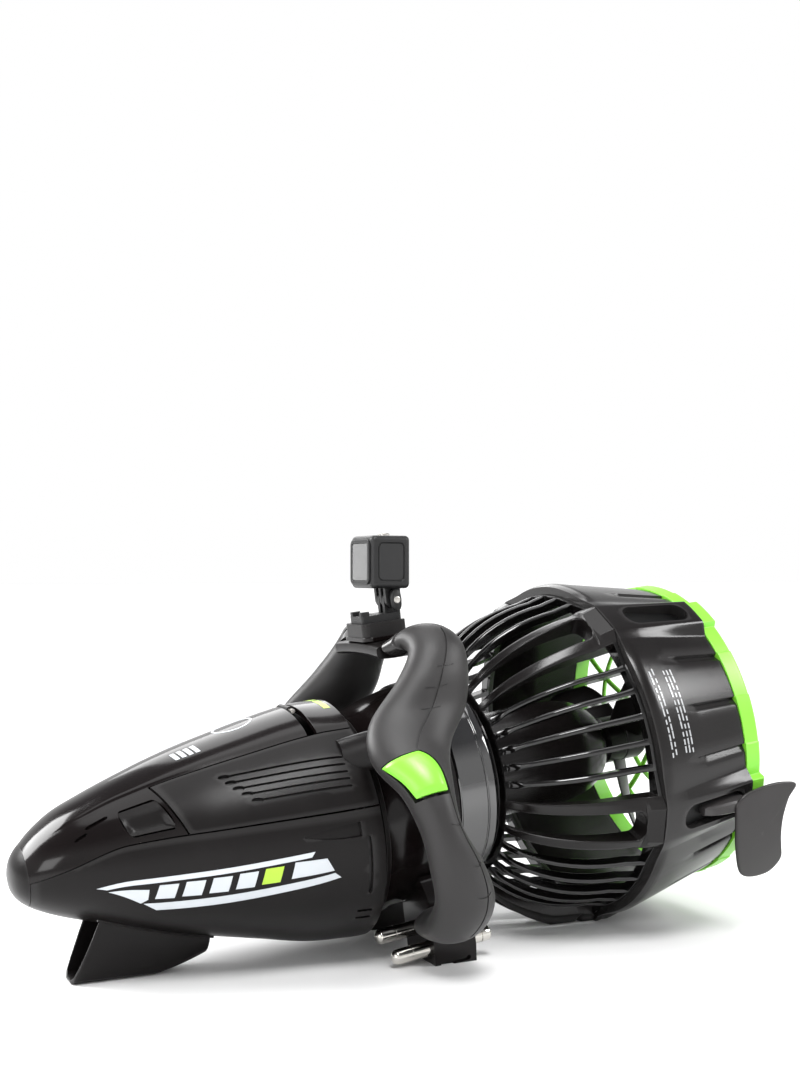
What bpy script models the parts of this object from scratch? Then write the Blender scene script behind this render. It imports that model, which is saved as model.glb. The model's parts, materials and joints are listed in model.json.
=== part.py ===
"""Underwater scooter: a hand-held thruster with a battery hull, a caged propeller and two grips.

The design frame of each piece is the thrust frame, in millimetres: u forward along the thrust
axis, v to port, w up, with its origin at the centre of the duct's front edge. The empty
"thrust_frame" carries every piece and sets the scooter down on the floor, nose slightly low.
"""
import math

import bmesh
import bpy
from mathutils import Matrix, Vector

MM = 0.001
GAP = 0.3                      # running gap left between touching pieces

# ---- driving dimensions, millimetres and degrees -----------------------------------------------
REST_PITCH = 7.31              # nose-down angle of the thrust axis when the scooter rests
AXIS_HEIGHT = 150.8            # height of the thrust axis above the floor, at the duct's front edge
AXIS_X = -171.96               # thrust frame origin, along the floor

NOSE_U = 491.0                 # tip of the nose
HULL_REAR_U = 226.0            # rear rim of the battery hull
HULL_WALL = 3.5
HATCH_U = 258.0                # hinge line of the battery hatch, across the spine
PANEL_FRONT_U = 387.0          # front edge of the louvred shoulder panels, at the spine
PANEL_RAKE = 18.0              # how far that edge runs back at the panel's foot
SPINE_EDGE = 0.547             # share of the upper side taken by the panel, the rest is spine
NOSE_CAP_U = 480.0             # the cover wraps right round the nose ahead of this

CAN_RADIUS = 85.0              # motor can behind the hull
CAN_FRONT_U = 151.0
CAN_REAR_U = 118.0
POD_RADIUS = 45.0              # motor pod inside the cage
POD_TAIL_U = -33.0
SHAFT_RADIUS = 6.0

DUCT_RADIUS = 150.0            # outside of the duct at its front edge
DUCT_REAR_RADIUS = 131.5
DUCT_LENGTH = 97.0
DUCT_WALL = 5.0
DUCT_LIP_RADIUS = 134.0       # the duct's front lip turns in to the cage
GUARD_DEPTH = 15.0             # rear guard behind the duct
ARM_COUNT = 5
ARM_FIRST = -90.0              # one arm points straight down and is the tail foot
ARM_HALF = 5.8                 # half width of an arm's flat crown, as an angle
ARM_FLANK = 4.5                # width of the slope down each side of the crown
ARM_RISE = 9.0                 # how far an arm stands proud of the duct at its rear edge
ARM_FRONT_RISE = 1.0           # and at its front edge; the foot arm keeps its full rise
POCKET_FRONT_U = -23.2         # pocket in the crown of every arm but the foot
POCKET_REAR_U = -88.0
POCKET_DEPTH = 7.0
RIBS_BETWEEN_ARMS = 5
RIB_PITCH = 8.8
RIB_HALF = 1.05
RIB_DEPTH = 8.0

PROP_RADIUS = 116.0
PROP_FRONT_U = -36.0
PROP_REAR_U = -80.0
BLADES = 3

BRIDGE_HALF = 42.0             # half length of the bridge between the grips
ROD_RADIUS = 6.0               # ballast rods
ROD_FRONT_U = 223.0
ROD_REAR_U = 136.0
CAMERA_PIVOT = (155.0, 0.0, 156.5)
BUTTON_WELL = 2.2              # recess under the camera's shutter button

CHARCOAL = (0.026, 0.024, 0.024)
GLOSS_BLACK = (0.012, 0.012, 0.013)
SOFT_GREY = (0.060, 0.057, 0.057)
LIME = (0.30, 0.91, 0.05)
STEEL = (0.62, 0.60, 0.57)
COPPER = (0.72, 0.33, 0.16)

THRUST = None                  # the empty that carries the whole scooter


# ---- small helpers -----------------------------------------------------------------------------
def lerp(low, high, t):
    return low + (high - low) * t


def table(points, x):
    """Straight-line interpolation through (x, value...) rows in rising x."""
    if x <= points[0][0]:
        return points[0][1:]
    for near, far in zip(points, points[1:]):
        if x <= far[0]:
            t = (x - near[0]) / (far[0] - near[0])
            return tuple(lerp(a, b, t) for a, b in zip(near[1:], far[1:]))
    return points[-1][1:]


def smooth_path(points, t):
    """Catmull-Rom curve through rows of numbers; t runs from 0 to 1 over the whole path."""
    last = len(points) - 1
    at = min(max(t, 0.0), 1.0) * last
    i = min(int(at), last - 1)
    x = at - i
    rows = [points[min(max(k, 0), last)] for k in (i - 1, i, i + 1, i + 2)]
    out = []
    for a, b, c, d in zip(*rows):
        out.append(0.5 * (2 * b + (c - a) * x + (2 * a - 5 * b + 4 * c - d) * x * x
                          + (3 * b - a - 3 * c + d) * x ** 3))
    return out


def floor_w(u):
    """Height of the floor in the thrust frame, at u."""
    pitch = math.radians(REST_PITCH)
    return (u * math.sin(pitch) - AXIS_HEIGHT) / math.cos(pitch)


def polar(u, radius, degrees):
    angle = math.radians(degrees)
    return (u, radius * math.cos(angle), radius * math.sin(angle))


def make_material(name, colour, roughness, metallic):
    material = bpy.data.materials.new(name)
    material.use_nodes = True
    shader = material.node_tree.nodes["Principled BSDF"]
    shader.inputs["Base Color"].default_value = (*colour, 1.0)
    shader.inputs["Roughness"].default_value = roughness
    shader.inputs["Metallic"].default_value = metallic
    material.diffuse_color = (*colour, 1.0)
    return material


def finish(name, bm, look, pivot=(0, 0, 0), smooth=35):
    """Turn a bmesh in thrust-frame millimetres into a named object whose origin is at pivot."""
    bmesh.ops.recalc_face_normals(bm, faces=bm.faces)
    bmesh.ops.transform(bm, verts=bm.verts,
                        matrix=Matrix.Scale(MM, 4) @ Matrix.Translation(-Vector(pivot)))
    mesh = bpy.data.meshes.new(name)
    bm.to_mesh(mesh)
    bm.free()
    mesh.shade_smooth()
    mesh.set_sharp_from_angle(angle=math.radians(smooth))
    item = bpy.data.objects.new(name, mesh)
    bpy.context.scene.collection.objects.link(item)
    item.parent = THRUST
    item.location = Vector(pivot) * MM
    if look is None:
        item.hide_render = True
        item.display_type = "WIRE"
    else:
        mesh.materials.append(make_material(name, *look))
    return item


def cut(item, tool, operation="DIFFERENCE"):
    boolean = item.modifiers.new(operation.lower(), "BOOLEAN")
    boolean.operation = operation
    boolean.object = tool


def bevel(item, width, segments=2):
    rounding = item.modifiers.new("rounding", "BEVEL")
    rounding.width = width * MM
    rounding.segments = segments
    rounding.limit_method = "ANGLE"
    rounding.angle_limit = math.radians(40)


# ---- solids ------------------------------------------------------------------------------------
def grid_solid(outer, inner, wrap=False, is_open=None, cap_last=False):
    """Closed solid between two grids of points. Open cells become holes with walls round them."""
    bm = bmesh.new()
    top = [[bm.verts.new(p) for p in row] for row in outer]
    low = [[bm.verts.new(p) for p in row] for row in inner]
    rows = len(outer) - 1
    count = len(outer[0])
    cols = count if wrap else count - 1

    def solid(i, j):
        if wrap:
            j %= cols
        if not (0 <= i < rows and 0 <= j < cols):
            return False
        return is_open is None or not is_open(i, j)

    for i in range(rows):
        for j in range(cols):
            if not solid(i, j):
                continue
            k = (j + 1) % count
            corners = ((i, j), (i, k), (i + 1, k), (i + 1, j))
            bm.faces.new([top[a][b] for a, b in corners])
            bm.faces.new([low[a][b] for a, b in reversed(corners)])
            around = ((i - 1, j), (i, j + 1), (i + 1, j), (i, j - 1))
            for side, (a, b) in enumerate(around):
                if solid(a, b) or (cap_last and a == rows):
                    continue
                (c, d), (e, f) = corners[side], corners[(side + 1) % 4]
                bm.faces.new((top[e][f], top[c][d], low[c][d], low[e][f]))
    if cap_last:
        bm.faces.new(top[rows])
        bm.faces.new(list(reversed(low[rows])))
    bmesh.ops.delete(bm, geom=[v for v in bm.verts if not v.link_faces], context="VERTS")
    return bm


def loft(rings):
    """Closed solid skinned over closed rings of equal length, with flat ends."""
    bm = bmesh.new()
    loops = [[bm.verts.new(p) for p in ring] for ring in rings]
    count = len(loops[0])
    for near, far in zip(loops, loops[1:]):
        for j in range(count):
            k = (j + 1) % count
            bm.faces.new((near[j], near[k], far[k], far[j]))
    bm.faces.new(list(reversed(loops[0])))
    bm.faces.new(loops[-1])
    return bm


def turned(profile, segments=40, centre=(0, 0)):
    """Solid of revolution about the thrust direction. A profile is a closed loop of (u, radius)
    points; a point of radius 0 closes the solid on its axis."""
    bm = bmesh.new()
    rings = []
    for u, radius in profile:
        if radius == 0:
            rings.append([bm.verts.new((u, *centre))] * segments)
            continue
        ring = []
        for k in range(segments):
            angle = 2 * math.pi * k / segments
            ring.append(bm.verts.new((u, centre[0] + radius * math.cos(angle),
                                      centre[1] + radius * math.sin(angle))))
        rings.append(ring)
    closed = min(radius for _, radius in profile) > 0
    pairs = list(zip(rings, rings[1:]))
    if closed:
        pairs.append((rings[-1], rings[0]))
    for near, far in pairs:
        for k in range(segments):
            n = (k + 1) % segments
            corners = []
            for vert in (near[k], near[n], far[n], far[k]):
                if vert not in corners:
                    corners.append(vert)
            bm.faces.new(corners)
    return bm


def rod_between(start, end, radius, segments=16):
    """Plain round bar from one point to another."""
    bm = bmesh.new()
    start, end = Vector(start), Vector(end)
    along = end - start
    turn = Vector((0, 0, 1)).rotation_difference(along).to_matrix().to_4x4()
    middle = Matrix.Translation((start + end) / 2)
    bmesh.ops.create_cone(bm, cap_ends=True, segments=segments, radius1=radius, radius2=radius,
                          depth=along.length, matrix=middle @ turn)
    return bm


def block(low, high, tilt=0.0):
    """Box between two corners; tilt turns it nose-up about its centre, in degrees."""
    bm = bmesh.new()
    low, high = Vector(low), Vector(high)
    middle = Matrix.Translation((low + high) / 2) @ Matrix.Rotation(math.radians(-tilt), 4, "Y")
    bmesh.ops.create_cube(bm, size=1, matrix=middle @ Matrix.Diagonal((*(high - low), 1)))
    return bm


# ---- battery hull ------------------------------------------------------------------------------
# Rows of (u, centre height, half height, half width) down the hull, from the rear to the nose.
HULL_SECTIONS = [
    (152, 0.0, 84.0, 84.0), (199, -12.0, 90.0, 92.0), (226, -15.0, 96.5, 97.0),
    (250, -13.5, 95.5, 95.5), (269, -13.0, 93.0, 93.0), (310, -10.5, 83.5, 86.0),
    (347, -8.5, 74.5, 78.0), (373, -7.5, 67.5, 70.0), (401, -7.0, 58.0, 62.0),
    (430, -4.5, 48.5, 53.5), (451, -4.5, 40.5, 45.5), (468, -5.5, 31.5, 37.5),
    (480, -7.0, 22.5, 29.0), (486.5, -7.5, 15.5, 20.5), (490, -8.0, 8.0, 10.5),
    (NOSE_U, -8.0, 2.0, 2.2)]
# Height of the line where the cover and panels meet the lower hull.
PARTING_LINE = [(152, 8.0), (226, 9.5), (369, 12.0), (410, 11.0), (455, -1.0), (488, -10.0)]


def hull_point(u, side_share, side, inset=0.0):
    """Point of the hull's surface. side_share runs from -1 at the keel through 0 on the parting
    line to 1 on the spine; side is 1 to port and -1 to starboard."""
    centre, high, wide = table(HULL_SECTIONS, u)
    parting = math.asin(max(-0.9, min(0.9, (table(PARTING_LINE, u)[0] - centre) / high)))
    if side_share < 0:
        angle = lerp(-math.pi / 2, parting, side_share + 1)
    else:
        angle = lerp(parting, math.pi / 2, side_share)
    return (u, side * (wide - inset) * math.cos(angle), centre + (high - inset) * math.sin(angle))


def raked(u, side_share):
    """Shift u so that the panel's front edge is one row of the grid."""
    upper = max(0.0, min(1.0, side_share / SPINE_EDGE)) if side_share > 0 else 0.0
    reach = 1 - min(1.0, abs(u - PANEL_FRONT_U) / 60.0)
    return u - PANEL_RAKE * (1 - upper) * reach if side_share > -0.001 else u


def hull_patch(rows, shares, walls):
    """Grids of outer and inner points over rows of u and a list of (side_share, side)."""
    outer = []
    inner = []
    for u, wall in zip(rows, walls):
        outer.append([hull_point(raked(u, s), s, side) for s, side in shares])
        inner.append([hull_point(raked(u, s) - (0 if u < NOSE_CAP_U + 2 else wall), s, side, wall)
                      for s, side in shares])
    return outer, inner


def walls_for(rows, rim_rows=2):
    """Wall thickness per row, with a thicker lip at the rear rim."""
    return [HULL_WALL + (5.0 if i < rim_rows else 0.0) for i in range(len(rows))]


def build_hull():
    edge = 0.006               # panel gap, as a share of the side
    rows = [HULL_REAR_U, 230, 240, 269, 310, 347, 373, 401, 430, 451, 468, NOSE_CAP_U - GAP]
    below = [-edge, -0.13, -0.28, -0.45, -0.62, -0.8, -1.0]
    ring = [(s, 1) for s in below] + [(s, -1) for s in reversed(below[:-1])]
    outer, inner = hull_patch(rows, ring, walls_for(rows))
    finish("lower_hull", grid_solid(outer, inner), (CHARCOAL, 0.42, 0.0))

    rows = [HULL_REAR_U, 230, 243, 258, 285, 315, 345, 370, PANEL_FRONT_U - GAP]
    for name, side in (("port", 1), ("starboard", -1)):
        shares = [(s, side) for s in (edge, 0.14, 0.28, 0.41, SPINE_EDGE - edge)]
        outer, inner = hull_patch(rows, shares, walls_for(rows))
        finish("shoulder_panel_" + name, grid_solid(outer, inner), (CHARCOAL, 0.25, 0.0))

    over = [SPINE_EDGE + edge, 0.66, 0.77, 0.88, 1.0]
    spine = [(s, 1) for s in over] + [(s, -1) for s in reversed(over[:-1])]
    rows = [HULL_REAR_U, 230, 243, HATCH_U - GROOVE]
    outer, inner = hull_patch(rows, spine, walls_for(rows))
    finish("rear_top_cover", grid_solid(outer, inner), (GLOSS_BLACK, 0.15, 0.0))

    # The hatch: a tongue along the spine, the sides of the nose with a window for each latch,
    # and the closed nose cap.
    rows = [HATCH_U + GROOVE, 285, 315, 345, 370, PANEL_FRONT_U + GAP, LATCH_ROWS[0], LATCH_ROWS[1],
            430, 451, 468, NOSE_CAP_U + GAP, 486.5, 490, NOSE_U]
    up = [-1.0, -0.66, -0.33, -edge, edge, LATCH_SHARES[0], 0.25, LATCH_SHARES[1],
          SPINE_EDGE + edge, 0.7, 0.85, 1.0]
    shares = [(s, 1) for s in up] + [(s, -1) for s in reversed(up[1:-1])]
    outer, inner = hull_patch(rows, shares, [HULL_WALL] * len(rows))

    def is_open(i, j):
        near, far = shares[j][0], shares[(j + 1) % len(shares)][0]
        foot = min(near, far)
        row = rows[i]
        if row >= NOSE_CAP_U:
            return False
        if row < PANEL_FRONT_U:
            return foot < SPINE_EDGE
        if foot < 0:
            return True
        in_window = LATCH_SHARES[0] - 0.01 < foot < LATCH_SHARES[1] - 0.01
        return in_window and LATCH_ROWS[0] - 0.1 < row < LATCH_ROWS[1] - 0.1

    bm = grid_solid(outer, inner, wrap=True, is_open=is_open, cap_last=True)
    finish("hatch_cover", bm, (GLOSS_BLACK, 0.18, 0.0), pivot=HATCH_AXIS)
    finish("hatch_knuckle", tube_across(HATCH_AXIS, 2.3, 3.4, 11.0), (CHARCOAL, 0.4, 0.0),
           pivot=HATCH_AXIS)
    bm = rod_between((HATCH_AXIS[0], -17, HATCH_AXIS[2]), (HATCH_AXIS[0], 17, HATCH_AXIS[2]), 1.9)
    finish("hatch_hinge_pin", bm, (STEEL, 0.25, 1.0))

    seal = finish("hatch_seal", block((281, -31, 41), (377, 31, 45)), (SOFT_GREY, 0.9, 0.0),
                  pivot=HATCH_AXIS)
    cut(seal, finish("seal_opening", block((287, -25, 38), (371, 25, 48)), None))

    for name, side in (("port", 1), ("starboard", -1)):
        build_latch(name, side)


HATCH_AXIS = (HATCH_U, 0.0, 80.2)
GROOVE = 4.0                   # half width of the groove that holds the hatch's hinge
LATCH_ROWS = (392.0, 416.0)
LATCH_SHARES = (0.07, 0.40)


def latch_axis(side):
    """Ends of the latch's pivot line, under the upper edge of its window."""
    share = LATCH_SHARES[1] - 0.022
    return [Vector(hull_point(raked(u, share), share, side, 1.2)) for u in LATCH_ROWS]


def build_latch(name, side):
    low, high = LATCH_SHARES
    shares = [(lerp(low + 0.016, high - 0.014, t), side) for t in (0, 0.33, 0.67, 1)]
    rows = [LATCH_ROWS[0] + 0.8, (LATCH_ROWS[0] + LATCH_ROWS[1]) / 2, LATCH_ROWS[1] - 0.8]
    outer = [[hull_point(raked(u, s), s, side, 0.2) for s, _ in shares] for u in rows]
    inner = [[hull_point(raked(u, s), s, side, 2.2) for s, _ in shares] for u in rows]
    start, end = latch_axis(side)
    finish("latch_" + name, grid_solid(outer, inner), (CHARCOAL, 0.5, 0.0),
           pivot=(start + end) / 2)


def tube_across(middle, bore, radius, half):
    """Short tube whose axis runs from port to starboard."""
    bm = turned([(-half, bore), (-half, radius), (half, radius), (half, bore)], 20)
    turn = Matrix.Rotation(math.pi / 2, 4, "Z")
    bmesh.ops.transform(bm, verts=bm.verts, matrix=Matrix.Translation(middle) @ turn)
    return bm


def build_skid():
    """Open-fronted scoop under the nose: the front foot."""
    outline = [(22.0, 0.0), (21.0, 0.35), (18.0, 0.72), (14.5, 0.93), (9.0, 1.0), (0.0, 1.0)]
    full = outline + [(-v, t) for v, t in reversed(outline[:-1])]
    rows = [(432.0, 456.0), (416.0, 434.0), (400.0, 412.0), (384.0, 394.0), (366.0, 372.0),
            (348.0, 351.0)]
    outer = []
    inner = []
    for top_u, foot_u in rows:
        rise = max(0.0, (394.0 - foot_u) / 43.0)
        foot_w = floor_w(foot_u) + 13.0 * rise ** 1.4
        thick = 2.6
        near = []
        far = []
        for v, drop in full:
            u = lerp(top_u, foot_u, drop)
            wide = v * (1 - 0.12 * rise)
            under = hull_under(top_u, wide) - GAP
            near.append((u, wide, lerp(under, foot_w, drop)))
            slim = max(0.0, abs(wide) - thick) * (1 if v > 0 else -1)
            far.append((u, slim, lerp(hull_under(top_u, slim) - GAP, foot_w + thick, drop)))
        outer.append(near)
        inner.append(far)
    finish("nose_skid", grid_solid(outer, inner), (CHARCOAL, 0.4, 0.0), smooth=50)


def hull_under(u, v):
    centre, high, wide = table(HULL_SECTIONS, u)
    return centre - high * math.sqrt(max(0.0, 1 - (v / wide) ** 2))


def build_inside():
    """Battery, controller and the wall behind them."""
    rings = []
    for u in (240.0, 243.0):
        ring = []
        for k in range(36):
            angle = 2 * math.pi * k / 36
            centre, high, wide = table(HULL_SECTIONS, u)
            ring.append((u, (wide - 7) * math.cos(angle), centre + (high - 7) * math.sin(angle)))
        rings.append(ring)
    wall = finish("bulkhead", loft(rings), (CHARCOAL, 0.6, 0.0))
    cut(wall, finish("cable_hole", rod_between((235, 0, -30), (248, 0, -30), 7), None))
    pack = finish("battery_pack", block((264, -42, -58), (380, 42, 34)), (SOFT_GREY, 0.5, 0.0))
    bevel(pack, 5, 1)
    finish("battery_connector", block((250, -16, -40), (263.5, 16, -20)), (LIME, 0.5, 0.0))
    box = finish("speed_controller", block((165, -40, -40), (215, 40, 20)), (STEEL, 0.4, 1.0))
    bevel(box, 2)


# ---- drive line --------------------------------------------------------------------------------
NECK_ROWS = [(235, 9.2), (222, 9.2), (205, 8.0), (180, 2.5), (CAN_FRONT_U + GAP, 0.3)]


def neck_rings(inset):
    """Rings round the neck that joins the hull to the motor can."""
    rings = []
    for u, shrink in NECK_ROWS:
        centre, high, wide = table(HULL_SECTIONS, u)
        ring = []
        for k in range(28):
            angle = 2 * math.pi * k / 28
            ring.append((u, (wide - shrink - inset) * math.cos(angle),
                         centre + (high - shrink - inset) * math.sin(angle)))
        rings.append(ring)
    return rings


def build_drive():
    shell = grid_solid(neck_rings(0.0), neck_rings(4.0), wrap=True)
    finish("neck_shell", shell, (GLOSS_BLACK, 0.4, 0.0))

    bore = 16.4
    profile = [(CAN_FRONT_U, CAN_RADIUS - 4), (CAN_FRONT_U, CAN_RADIUS), (CAN_REAR_U, CAN_RADIUS),
               (CAN_REAR_U - 3, CAN_RADIUS - 4), (CAN_REAR_U - 3, bore), (CAN_REAR_U + 3, bore),
               (CAN_REAR_U + 3, CAN_RADIUS - 4)]
    finish("motor_can", turned(profile, 36), (GLOSS_BLACK, 0.12, 0.0))

    pod_front = CAN_REAR_U - 3 - GAP
    bearing_seat = 24.0
    dome = []
    for k in range(4):
        angle = math.pi / 2 * k / 4
        dome.append((13 - (13 - POD_TAIL_U) * math.sin(angle),
                     14 + (POD_RADIUS - 14) * math.cos(angle)))
    profile = [(pod_front, POD_RADIUS - 4), (pod_front, POD_RADIUS), *dome, (POD_TAIL_U, 14.4),
               (bearing_seat - 12, 14.4), (bearing_seat - 4, 16.4), (bearing_seat + 4, 16.4),
               (bearing_seat + 4, POD_RADIUS - 4)]
    finish("motor_pod", turned(profile, 28), (GLOSS_BLACK, 0.3, 0.0))

    ring_at("front_bearing", CAN_REAR_U - 2.5, CAN_REAR_U + 2.5, 6.3, 16.0, (STEEL, 0.2, 1.0))
    ring_at("rear_bearing", bearing_seat - 3.5, bearing_seat + 3.5, 6.3, 16.0, (STEEL, 0.2, 1.0))
    ring_at("shaft_seal", 0.0, 8.0, 6.3, 14.0, (GLOSS_BLACK, 0.8, 0.0))
    ring_at("motor_stator", 38.0, 100.0, 29.0, 40.6, (COPPER, 0.4, 1.0))
    ring_at("motor_rotor", 42.0, 96.0, 6.3, 28.0, (STEEL, 0.35, 1.0))
    shaft = turned([(132, 0), (132, SHAFT_RADIUS), (PROP_REAR_U, SHAFT_RADIUS), (PROP_REAR_U, 0)],
                   24)
    finish("propeller_shaft", shaft, (STEEL, 0.2, 1.0))


def ring_at(name, low_u, high_u, bore, radius, look):
    bm = turned([(low_u, bore), (low_u, radius), (high_u, radius), (high_u, bore)], 20)
    return finish(name, bm, look)


def blade_ring(radius, turn):
    """Section of one blade at a radius: a thin lens set at the blade's pitch."""
    share = (radius - 16) / (PROP_RADIUS - 16)
    chord = lerp(26, 44, math.sin(math.pi * min(1.0, share * 0.95 + 0.05)))
    chord *= math.sqrt(max(0.12, 1 - max(0.0, (share - 0.7) / 0.3) ** 2))
    pitch = math.radians(lerp(52, 24, share))
    thick = lerp(3.4, 1.4, share)
    sweep = math.radians(16 * share ** 2)
    ring = []
    for x, y in ((-0.5, 0), (-0.25, 0.8), (0, 1), (0.25, 0.8), (0.5, 0), (0.25, -0.5),
                 (0, -0.6), (-0.25, -0.5)):
        along = x * chord
        up = y * thick
        du = along * math.sin(pitch) + up * math.cos(pitch)
        arc = (along * math.cos(pitch) - up * math.sin(pitch)) / radius
        angle = turn + sweep + arc
        ring.append(((PROP_FRONT_U + PROP_REAR_U) / 2 + du, radius * math.cos(angle),
                     radius * math.sin(angle)))
    return ring


def build_propeller():
    bore = SHAFT_RADIUS + GAP
    hub = turned([(PROP_FRONT_U, bore), (PROP_FRONT_U, 18), (PROP_FRONT_U - 3, 20.5),
                  (PROP_REAR_U + 6, 20.5), (PROP_REAR_U, 17), (PROP_REAR_U, bore)], 24)
    propeller = finish("propeller", hub, (GLOSS_BLACK, 0.35, 0.0))
    radii = (15, 26, 46, 70, 92, 108, PROP_RADIUS)
    for k in range(BLADES):
        turn = 2 * math.pi * k / BLADES + 0.6
        blade = finish("blade_%d" % k, loft([blade_ring(r, turn) for r in radii]), None)
        cut(propeller, blade, "UNION")
    cone = turned([(PROP_REAR_U - GAP, 0), (PROP_REAR_U - GAP, 14), (PROP_REAR_U - 8, 12),
                   (PROP_REAR_U - 14, 6), (PROP_REAR_U - 16, 0)], 24)
    finish("propeller_nut", cone, (GLOSS_BLACK, 0.3, 0.0))


# ---- duct, cage and guard ----------------------------------------------------------------------
def arm_angle(index):
    return ARM_FIRST + 360.0 / ARM_COUNT * index


def arm_share(degrees, flank=ARM_FLANK):
    """1 on an arm's crown, 0 between arms, and a slope down each flank."""
    step = 360.0 / ARM_COUNT
    off = abs((degrees - ARM_FIRST + step / 2) % step - step / 2)
    return max(0.0, min(1.0, (ARM_HALF + flank - off) / flank))


def on_foot_arm(degrees):
    return abs((degrees - ARM_FIRST + 180) % 360 - 180) < 180.0 / ARM_COUNT


def arm_rise(u, degrees):
    """Height of an arm's crown over the duct."""
    if on_foot_arm(degrees):
        return ARM_RISE
    return lerp(ARM_FRONT_RISE, ARM_RISE, min(1.0, max(0.0, -u / DUCT_LENGTH)))


def duct_radius(u):
    return lerp(DUCT_RADIUS, DUCT_REAR_RADIUS, min(1.0, max(0.0, -u / DUCT_LENGTH)))


def above_floor(u, radius, degrees):
    """Limit a radius so that the lowest arm ends in a flat foot on the floor."""
    down = -math.sin(math.radians(degrees))
    return min(radius, -floor_w(u) / down) if down > 0.3 else radius


def band_grid(rows, angles, shape):
    return [[polar(u, shape(u, a), a) for a in angles] for u in rows]


def build_duct():
    rows = [-GAP, -6, -9, POCKET_FRONT_U + 1.2, POCKET_FRONT_U, POCKET_REAR_U,
            POCKET_REAR_U - 1.2, -DUCT_LENGTH]
    pocket_half = 4.0
    crown = (ARM_HALF, ARM_HALF + ARM_FLANK)
    local = [-crown[1], -crown[0], -pocket_half - 0.4, -pocket_half, pocket_half,
             pocket_half + 0.4, crown[0], crown[1], 20, 30.5, 41.5, 52]
    angles = [arm_angle(k) + a for k in range(ARM_COUNT) for a in local]

    def outside(u, degrees):
        rise = arm_rise(u, degrees) * arm_share(degrees)
        step = 360.0 / ARM_COUNT
        off = abs((degrees - ARM_FIRST + step / 2) % step - step / 2)
        in_pocket = off < pocket_half + 0.1 and POCKET_REAR_U - 0.1 < u < POCKET_FRONT_U + 0.1
        if in_pocket and not on_foot_arm(degrees):
            rise -= POCKET_DEPTH
        return above_floor(u, duct_radius(u) + rise, degrees)

    outer = band_grid(rows, angles, outside)
    def inside(u, degrees):
        return DUCT_LIP_RADIUS if u > -7 else duct_radius(u) - DUCT_WALL

    inner = band_grid(rows, angles, inside)
    finish("duct_band", grid_solid(outer, inner, wrap=True), (CHARCOAL, 0.3, 0.0))


def cage_radius(u):
    """Bulging outline of the intake cage, from the motor can out to the duct's lip."""
    reach = min(1.0, max(0.0, u / 112.0))
    return 78 + 58 * (1 - reach ** 2.2) ** 0.625 + 4 * (1 - min(1.0, max(0.0, u / 20)))


def build_cage():
    ring_rows = (CAN_REAR_U - 3.5, 110.0)
    rows = [*ring_rows, 105, 92, 74, 50, 19, 3, 0]
    half_span = RIB_PITCH * (RIBS_BETWEEN_ARMS - 1) / 2
    local = [-9.5, -5.2, 5.2, 9.5]
    ribs = []
    for k in range(RIBS_BETWEEN_ARMS):
        middle = 180.0 / ARM_COUNT - half_span + k * RIB_PITCH
        ribs.append(len(local))
        local += [middle - RIB_HALF, middle + RIB_HALF]
    angles = [arm_angle(k) + a for k in range(ARM_COUNT) for a in local]

    def outside(u, degrees):
        on_arm = 1 if arm_share(degrees) > 0.1 else 0
        behind = min(1.0, max(0.0, (112 - u) / 112))
        if on_foot_arm(degrees):
            spread = ARM_RISE + 7.0
            spread *= min(1.0, behind * 1.6)
        else:
            spread = (ARM_FRONT_RISE + 10.0) * behind ** 2
        rise = on_arm * spread * (0.35 + 0.65 * arm_share(degrees))
        return above_floor(u, cage_radius(u) + rise, degrees)

    def inside(u, degrees):
        lean = min(1.0, max(0.0, (112 - u) / 30))
        return cage_radius(u) - lerp(4.5, RIB_DEPTH, lean)

    def is_open(i, j):
        j %= len(local)
        if i == 0 or rows[i] <= 3:
            return False
        if j in (0, 2) or j in ribs:
            return False
        return not (j == 1 and rows[i] < 20)

    outer = band_grid(rows, angles, outside)
    inner = band_grid(rows, angles, inside)
    finish("intake_cage", grid_solid(outer, inner, wrap=True, is_open=is_open),
           (GLOSS_BLACK, 0.1, 0.0))


def build_guard():
    """Rear guard: a stepped lime rim with a spoked grille across the duct's mouth."""
    step = 360.0 / ARM_COUNT
    local = [-ARM_HALF - 1, -ARM_HALF, ARM_HALF, ARM_HALF + 1, 18, 30.5, 41.5, 54]
    angles = [arm_angle(k) + a for k in range(ARM_COUNT) for a in local]
    front = -DUCT_LENGTH - GAP
    rear = front - GUARD_DEPTH
    rim = DUCT_REAR_RADIUS - DUCT_WALL

    def outside(u, degrees):
        return above_floor(u, DUCT_REAR_RADIUS + 1.0 + 6.0 * arm_share(degrees, 1.0), degrees)

    outer = band_grid([front, rear], angles, outside)
    inner = band_grid([front, rear], angles, lambda u, a: rim)
    guard = finish("rear_guard", grid_solid(outer, inner, wrap=True), (LIME, 0.4, 0.0))

    spokes = 15
    half = 1.3
    angles = []
    for k in range(spokes):
        angles += [ARM_FIRST + 360.0 / spokes * k - half, ARM_FIRST + 360.0 / spokes * k + half]
    radii = [14, 22, 56, 60, rim - 3, rim + 1.5]
    near = [[polar(rear + 5, r, a) for a in angles] for r in radii]
    far = [[polar(rear + 1, r, a) for a in angles] for r in radii]
    grille = grid_solid(near, far, wrap=True, is_open=lambda i, j: i % 2 == 1 and j % 2 == 1)
    cut(guard, finish("guard_grille", grille, None), "UNION")


# A tail fin's outline, as (u, distance below its root): leading edge down, trailing edge up.
FIN_OUTLINE = [
    (-79, -9), (-72.5, -2), (-72.5, 8), (-73.5, 19), (-75.5, 34), (-80, 51), (-86, 65),
    (-94, 72), (-107, 75), (-121, 73), (-130, 62), (-127.5, 48), (-125, 36), (-124.5, 18),
    (-129, 0), (-135.5, -9), (-122.5, -13), (-107, -14), (-89, -12)]


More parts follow.
